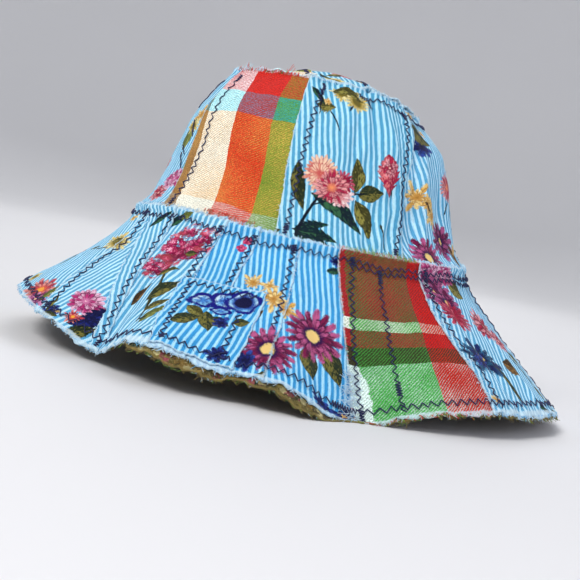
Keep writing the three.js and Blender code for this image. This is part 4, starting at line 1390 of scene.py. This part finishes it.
def extra_lines(patches):
    """The second row on the checked patch, the square patch's edges and the joins on the top"""
    def on_madras(a, b):
        return find_patch(patches, "brim", "madras").point(a, b, 0.45)

    def on_pansy(a, b):
        return settle("brim", a, b, PANSY_LIFT + 0.5)

    second = seam_path(SECOND_ROW, 0.07, 0.97)
    lines = [zigzag(on_madras, second, "second", tacks=((0, 0.1), (0.78, 0.88)))]
    shares = np.linspace(PANSY_TOP + 0.03, PANSY_HEM - 0.03, 40)
    for across, low in ((0.13, 0), (0.8, 12)):
        path = np.stack([pansy_angle(across, shares), shares], -1)[low:]
        lines.append(zigzag(on_pansy, path, "pansy" + str(across), tacks=((0.9, 1),)))
    inner = np.linspace(0.07, 0.93, 40)
    for share, tacks in ((PANSY_TOP + 0.045, ()), (0.92, ((0.97, 1),))):
        level = np.full_like(inner, share)
        path = np.stack([pansy_angle(inner, level), level], -1)
        lines.append(zigzag(on_pansy, path, share, 3.4, 5.2, tacks))
    for path, seed in TACKS:
        lines.append(zigzag(lambda a, b: settle("crown", a, b, TACK_LIFT), path, seed, TACK_WIDTH,
                            tacks=((0, 1),)))
    for _, _, edge, _ in TOP_STRIPS[:2]:
        side = np.linspace(-0.93, 0.93, 60) * math.sqrt(1 - edge**2)
        path = np.stack([side, np.full_like(side, edge - 3.6 / TOP_HALF_LENGTH)], -1)
        lines.append(zigzag(lambda a, b: top_point(a, b, 0.75), path, edge))
    return lines


# Long straight stitches on the crown's front: angle and share of each one's two ends
LONG_STITCHES = [
    ((8, 0.93), (5, 0.865)), ((5, 0.86), (2.5, 0.80)), ((1.5, 0.80), (-1, 0.73)), ((13, 0.56), (8, 0.64)),
    ((15, 0.53), (11, 0.575)), ((16, 0.40), (10, 0.46)), ((17, 0.34), (12, 0.41)), ((19, 0.30), (17, 0.345)),
]


def long_stitches(patch):
    lines = []
    for start, end in LONG_STITCHES:
        part = np.linspace(0, 1, 6)
        angle = start[0] + (end[0] - start[0]) * part
        share = start[1] + (end[1] - start[1]) * part
        lines.append(patch.point(angle, share, 0.35 + 0.3 * np.sin(part * math.pi)))
    return lines


FRINGE_DYES = {"white": (204, 228, 242), "sky": (112, 184, 228), "red": (214, 52, 44),
               "green": (120, 160, 60), "olive": (128, 112, 60)}
# Cut edges that run round a part: share, way (1 is towards greater shares), threads per mm, length
EDGES = {"brim": ((1.0, 1, 2.0, 2.3), (-0.012, -1, 1.8, 1.3)), "crown": ((1.028, 1, 1.6, 1.3),)}
SEAM_THREADS = {"brim": 70, "crown": 24}  # along each raw seam edge
SEAM_FRINGE, FACING_FRINGE = 1.3, 2.2  # length of the threads there and along the facing
SHORT_FRINGE = {("brim", "front"): 0.55, ("brim", "chevron"): 0.6, ("brim", "far_front"): 0.8}
FRINGE_MIX = {
    "ticking": (("white", 5), ("sky", 5)), "floral": (("white", 6), ("sky", 5)),
    "madras": (("white", 4), ("red", 4), ("green", 3)), "facing": (("olive", 8), ("white", 1), ("green", 3)),
}


def fringe(threads, point_of, bases, ways, mix, seed, length):
    """Threads that hang from a cut edge. Each has a surface place and a way to go, in degrees
    and share, and strays as it goes. The mix names their dyes with how many of each."""
    rng = np.random.default_rng(seed)
    a, b = np.array(bases, float).T
    way_a, way_b = np.array(ways, float).T
    count = len(a)
    start = point_of(a, b, 0.0)
    ahead = point_of(a + way_a * 0.4, b + way_b * 0.4, 0.0) - start
    ahead = ahead / (np.linalg.norm(ahead, axis=1, keepdims=True) + 1e-9)
    side = point_of(a + way_b * 8, b + way_a * 0.01, 0.0) - start
    side = side / (np.linalg.norm(side, axis=1, keepdims=True) + 1e-9)
    reach = (rng.uniform(0.3, 1.0, (count, 1))**1.6) * length
    stray = rng.uniform(-0.9, 0.9, (count, 1))
    bend = rng.uniform(-0.3, 0.3, (count, 3))
    bend[:, 2] += rng.uniform(-0.25, 0.4, count)
    middle = start + (ahead + side * stray * 0.5) * reach * 0.5
    tip = start + (ahead + side * stray + bend) * reach
    lines = np.stack([start - ahead, middle, tip], 1)
    lines[:, :, 2] = np.maximum(lines[:, :, 2], 0.25)
    names = [name for name, weight in mix for _ in range(weight)]
    for line, name in zip(lines, rng.choice(names, count)):
        threads[str(name)].append(line)


def fringe_all(patches):
    """Frayed threads along every cut edge of the patches"""
    draw = random.Random(11)
    threads = {name: [] for name in FRINGE_DYES}
    for part, edges in EDGES.items():
        for number, patch in enumerate(patches[part]):
            mix = FRINGE_MIX[patch.cloth]
            for share, way, per_mm, length in edges:
                inner = min(max(share, 0), 1)
                low, high = seam_angle(patch.left, inner), seam_angle(patch.right, inner)
                radius = float(patch.radius(np.array(patch.middle), np.array(inner)))
                count = int(math.radians(high - low) * radius * per_mm)
                bases = [(draw.uniform(low, high), share + draw.uniform(-0.006, 0.004))
                         for _ in range(count)]
                ways = [(draw.uniform(-1, 1), way * 0.02) for _ in range(count)]
                length = length * SHORT_FRINGE.get((part, patch.name), 1)
                fringe(threads, patch.point, bases, ways, mix, number, length)
            for seam, way, covers in patch.seams():
                if covers:
                    shares = [draw.uniform(0.02, 0.98) for _ in range(SEAM_THREADS[part])]
                    bases = [(float(seam_angle(seam, share)) + way * 0.1, share) for share in shares]
                    ways = [(-way, draw.uniform(-0.01, 0.01)) for _ in shares]
                    fringe(threads, patch.point, bases, ways, mix, number, SEAM_FRINGE)
    return threads


# Where a patch's edge has come undone: part, patch, angles, shares, way, count, length, dyes
LOOSE_ENDS = [
    ("brim", "madras", (97.5, 101.5), (0.7, 0.97), (-1.0, 0.0), 150, 6.5, (("white", 1),)),
    ("brim", "madras", (98, 126), (-0.012, 0.0), (0.4, -0.02), 70, 3.0, (("green", 3), ("olive", 1))),
    ("crown", "madras", (47, 56), (1.02, 1.03), (0.5, 0.02), 12, 5.5, (("red", 1),)),
    ("crown", "madras", (34, 66), (1.02, 1.03), (0.5, 0.02), 40, 1.8, (("red", 1),)),
    ("crown", "madras", (10, 34), (1.02, 1.03), (0.5, 0.02), 50, 2.6, (("white", 2), ("red", 1))),
    ("crown", "madras", (44, 64), (0.03, 0.045), (0.6, -0.02), 60, 2.6, (("red", 3), ("olive", 1))),
    ("brim", "back", (127.5, 131), (0.1, 0.95), (-1.0, 0.0), 90, 2.2, (("white", 1),)),
]


def loose_ends(threads, patches):
    draw = random.Random(23)
    for number, (part, name, angles, shares, way, count, length, mix) in enumerate(LOOSE_ENDS):
        patch = find_patch(patches, part, name)
        bases = [(draw.uniform(*angles), draw.uniform(*shares)) for _ in range(count)]
        ways = [(way[0] * draw.uniform(0.2, 1) * (1 if way[0] < 0 else draw.choice((-1, 1))),
                 way[1] + draw.uniform(-0.008, 0.008)) for _ in range(count)]
        fringe(threads, lambda a, b, h: patch.point(a, b, h + 0.25), bases, ways, mix, number, length)


def facing_fringe(threads):
    draw = random.Random(5)
    angle = np.arange(0, 360, 0.2)
    bases = np.stack([angle, 1 + facing_hang(angle) / REACH["brim"]], -1)
    ways = [(draw.uniform(-1, 1), 0.02) for _ in angle]
    fringe(threads, lambda a, b, h: settle("brim", a, b, h - FACING_DEPTH + 0.5), bases, ways,
           FRINGE_MIX["facing"], 3, FACING_FRINGE)


# Stage, lights and camera

VIEW_ANGLE = 81.0  # round the hat, from its front
VIEW_DISTANCE = 700.0
VIEW_HEIGHT = SEAM_HEIGHT + 20.0
VIEW_ROLL = 11.0
VIEW_FOCUS = 1129.0  # focal length, in pixels of the photograph's frame
FRAME_SIZE = 580.0
SEAM_PIXEL = (302.0, 238.0)  # where the middle of the crown's seam falls
SENSOR = 36.0


def make_camera():
    turn = math.radians(VIEW_ANGLE)
    eye = Vector((AXIS_X + math.sin(turn) * VIEW_DISTANCE, AXIS_Y - math.cos(turn) * VIEW_DISTANCE,
                  VIEW_HEIGHT))
    seam_middle = Vector((AXIS_X, AXIS_Y, SEAM_HEIGHT))
    ahead = (seam_middle - eye).normalized()
    right = ahead.cross(Vector((0, 0, 1))).normalized()
    up = right.cross(ahead)
    roll = math.radians(VIEW_ROLL)
    right, up = right * math.cos(roll) + up * math.sin(roll), up * math.cos(roll) - right * math.sin(roll)
    size = (seam_middle - eye).length / VIEW_FOCUS
    aside, below = ((pixel - FRAME_SIZE / 2) * size for pixel in SEAM_PIXEL)
    aim = seam_middle - right * aside + up * below
    ahead = (aim - eye).normalized()
    right = (right - ahead * right.dot(ahead)).normalized()
    up = right.cross(ahead)
    data = bpy.data.cameras.new("camera")
    data.sensor_width = SENSOR
    data.lens = VIEW_FOCUS / FRAME_SIZE * SENSOR
    data.clip_start, data.clip_end = 0.01, 50
    camera = bpy.data.objects.new("camera", data)
    bpy.context.scene.collection.objects.link(camera)
    matrix = camera.matrix_world.to_3x3()
    matrix.col[0], matrix.col[1], matrix.col[2] = right, up, -ahead
    camera.matrix_world = matrix.to_4x4()
    camera.location = eye * MM
    bpy.context.scene.camera = camera


FLOOR_REACH, FLOOR_CURVE, WALL_HEIGHT = 1.6, 1.2, 4.0  # in metres


def make_stage():
    """A pale floor that curves up into a pale wall all round"""
    material, p, shader = new_material("paper")
    patchy = p.noise(p.node("ShaderNodeTexCoord", {}, "Object"), 1.5, 2.0)
    colour = p.mix(patchy, dye(226, 226, 228), dye(234, 234, 236))
    p.plug(shader, {"Base Color": colour, "Roughness": 0.9})
    profile = [(0.0, 0.0), (FLOOR_REACH, 0.0)]
    for turn in np.linspace(0.15, math.pi / 2, 10):
        out, up = math.sin(turn) * FLOOR_CURVE, FLOOR_CURVE - math.cos(turn) * FLOOR_CURVE
        profile.append((FLOOR_REACH + out, up))
    profile.append((FLOOR_REACH + FLOOR_CURVE, WALL_HEIGHT))
    bm = bmesh.new()
    verts = [bm.verts.new((x, 0, z)) for x, z in profile]
    edges = [bm.edges.new(pair) for pair in zip(verts, verts[1:])]
    bmesh.ops.spin(bm, geom=verts + edges, axis=(0, 0, 1), cent=(0, 0, 0), steps=72, angle=math.tau,
                   use_merge=True)
    bmesh.ops.remove_doubles(bm, verts=bm.verts, dist=0.0001)
    bmesh.ops.recalc_face_normals(bm, faces=bm.faces)
    bmesh.ops.reverse_faces(bm, faces=bm.faces)
    mesh = bpy.data.meshes.new("floor")
    for face in bm.faces:
        face.smooth = True
    bm.to_mesh(mesh)
    bm.free()
    mesh.materials.append(material)
    floor = bpy.data.objects.new("floor", mesh)
    bpy.context.scene.collection.objects.link(floor)


LIGHTS_AIM = Vector((0, 0, 0.08))


def make_light(name, place_at, size, energy, colour):
    data = bpy.data.lights.new(name, "AREA")
    data.size = size
    data.energy = energy
    data.color = colour
    light = bpy.data.objects.new(name, data)
    light.location = place_at
    light.rotation_euler = (LIGHTS_AIM - Vector(place_at)).to_track_quat("-Z", "Y").to_euler()
    bpy.context.scene.collection.objects.link(light)


def make_lights():
    world = bpy.data.worlds.new("studio")
    world.use_nodes = True
    sky = world.node_tree.nodes["Background"].inputs
    sky["Color"].default_value = (0.93, 0.96, 1.0, 1)
    sky["Strength"].default_value = 0.5
    bpy.context.scene.world = world
    make_light("key", (1.0, -0.95, 1.35), 0.6, 22, (1.0, 0.98, 0.96))
    make_light("fill", (0.8, 1.3, 0.7), 1.2, 7, (0.85, 0.87, 1.0))
    make_light("far", (-1.3, 0.2, 1.1), 1.0, 8, (1.0, 1.0, 1.0))
    bpy.context.scene.view_settings.view_transform = "Standard"


# Sewing

# Stripes lean by this much on each patch, clockwise on the cloth
LEAN = {
    "crown_front": 0, "crown_mum": -4, "crown_back": -4, "crown_nape": 4, "crown_far_back": -2,
    "crown_far_front": 6, "brim_front": -34, "brim_chevron": 14, "brim_wedge": -28, "brim_hydrangea": 7,
    "brim_bud": -6, "brim_blossom": -9, "brim_aster": -5, "brim_back": 28, "brim_nape": -5,
    "brim_far_back": 4, "brim_far_ticking": -12, "brim_far_floral": 5, "brim_far_front": 18,
    "top_middle": 90, "top_back": 80, "pansy": 3,
}
# The checks' bands, in mm across and up each patch's cloth: warp, weft, lean, raw side
CHECKS = {
    "crown_madras": (
        [(-60, "tan"), (-20, "white"), (4.2, "red"), (26.6, "green")],
        [(-30, "white"), (11, "yellow"), (65.4, "blue"), (81.6, "red")], 0.18, None),
    "crown_far_madras": (
        [(-60, "green"), (-16, "red"), (4, "white"), (24, "blue")],
        [(-30, "red"), (20, "white"), (26, "yellow"), (66, "blue"), (84, "white")], -0.1, None),
    "top_front": (
        [(-80, "white"), (-24, "red"), (2, "green"), (24, "white")],
        [(-90, "red"), (-40, "blue"), (-28, "yellow"), (10, "red")], 0.0, None),
    "brim_madras": (
        [(-90, "leaf"), (14.5, "rose")],
        [(-160, "chalk"), (-64, "pine"), (-54, "rust"), (-45, "band"), (-38.5, "rust")], 0.0, 3.4),
    "brim_nape_madras": (
        [(-90, "red"), (-12, "white"), (8, "green")],
        [(-160, "yellow"), (-66, "blue"), (-50, "yellow"), (-12, "red")], 0.05, None),
    "brim_far_madras": (
        [(-90, "leaf"), (-18, "white"), (2, "red"), (22, "tan")],
        [(-160, "blue"), (-74, "white"), (-66, "rust"), (-30, "pine"), (-18, "yellow")], -0.06, None),
}
SLOTS = {"floral": "floral_ticking", "ticking": "plain_ticking"}


def material_for(key, cloth, groups, patch):
    if cloth == "madras":
        return madras_material(key, *CHECKS[key])
    return striped_material(key, groups, patch)


def slot_for(part, cloth):
    if cloth == "madras":
        return "brown_madras" if part == "brim" else "orange_madras"
    return SLOTS[cloth]


def sew_hat():
    groups = {"bloom": bloom_group(), "cluster": cluster_group(), "leaf": leaf_group(),
              "ticking": ticking_group()}
    patches = {part: cut_patches(part) for part in PARTS}
    for part, cut in patches.items():
        for patch in cut:
            key = f"{part}_{patch.name}"
            sew_patch(patch, material_for(key, patch.cloth, groups, patch), slot_for(part, patch.cloth))
    around = Patch("brim", "pansy", "floral", [54] * 5, [74] * 5, True, True)
    sew_pansy_patch(around, striped_material("pansy", groups, around))
    for strip in TOP_STRIPS:
        name, cloth = strip[0], strip[3]
        sew_top(strip, material_for("top_" + name, cloth, groups, None), slot_for("top", cloth))
    dark = facing_material()
    for index in range(len(FACING_SECTORS)):
        sew_facing(index, dark)
    return patches


def stitch_hat(patches):
    lines = stitch_lines(patches) + ring_lines() + extra_lines(patches)
    lines += long_stitches(find_patch(patches, "crown", "front"))
    thread_piece("zigzag_stitching", lines, THREAD, thread_material("navy_thread", dye(18, 24, 76)))
    threads = fringe_all(patches)
    loose_ends(threads, patches)
    facing_fringe(threads)
    for name, lines in threads.items():
        yarn = thread_material(f"{name}_yarn", dye(*FRINGE_DYES[name]))
        thread_piece(f"fringe_{name}", lines, FRINGE_THREAD, yarn)


make_camera()
make_stage()
make_lights()
patches = sew_hat()
stitch_hat(patches)
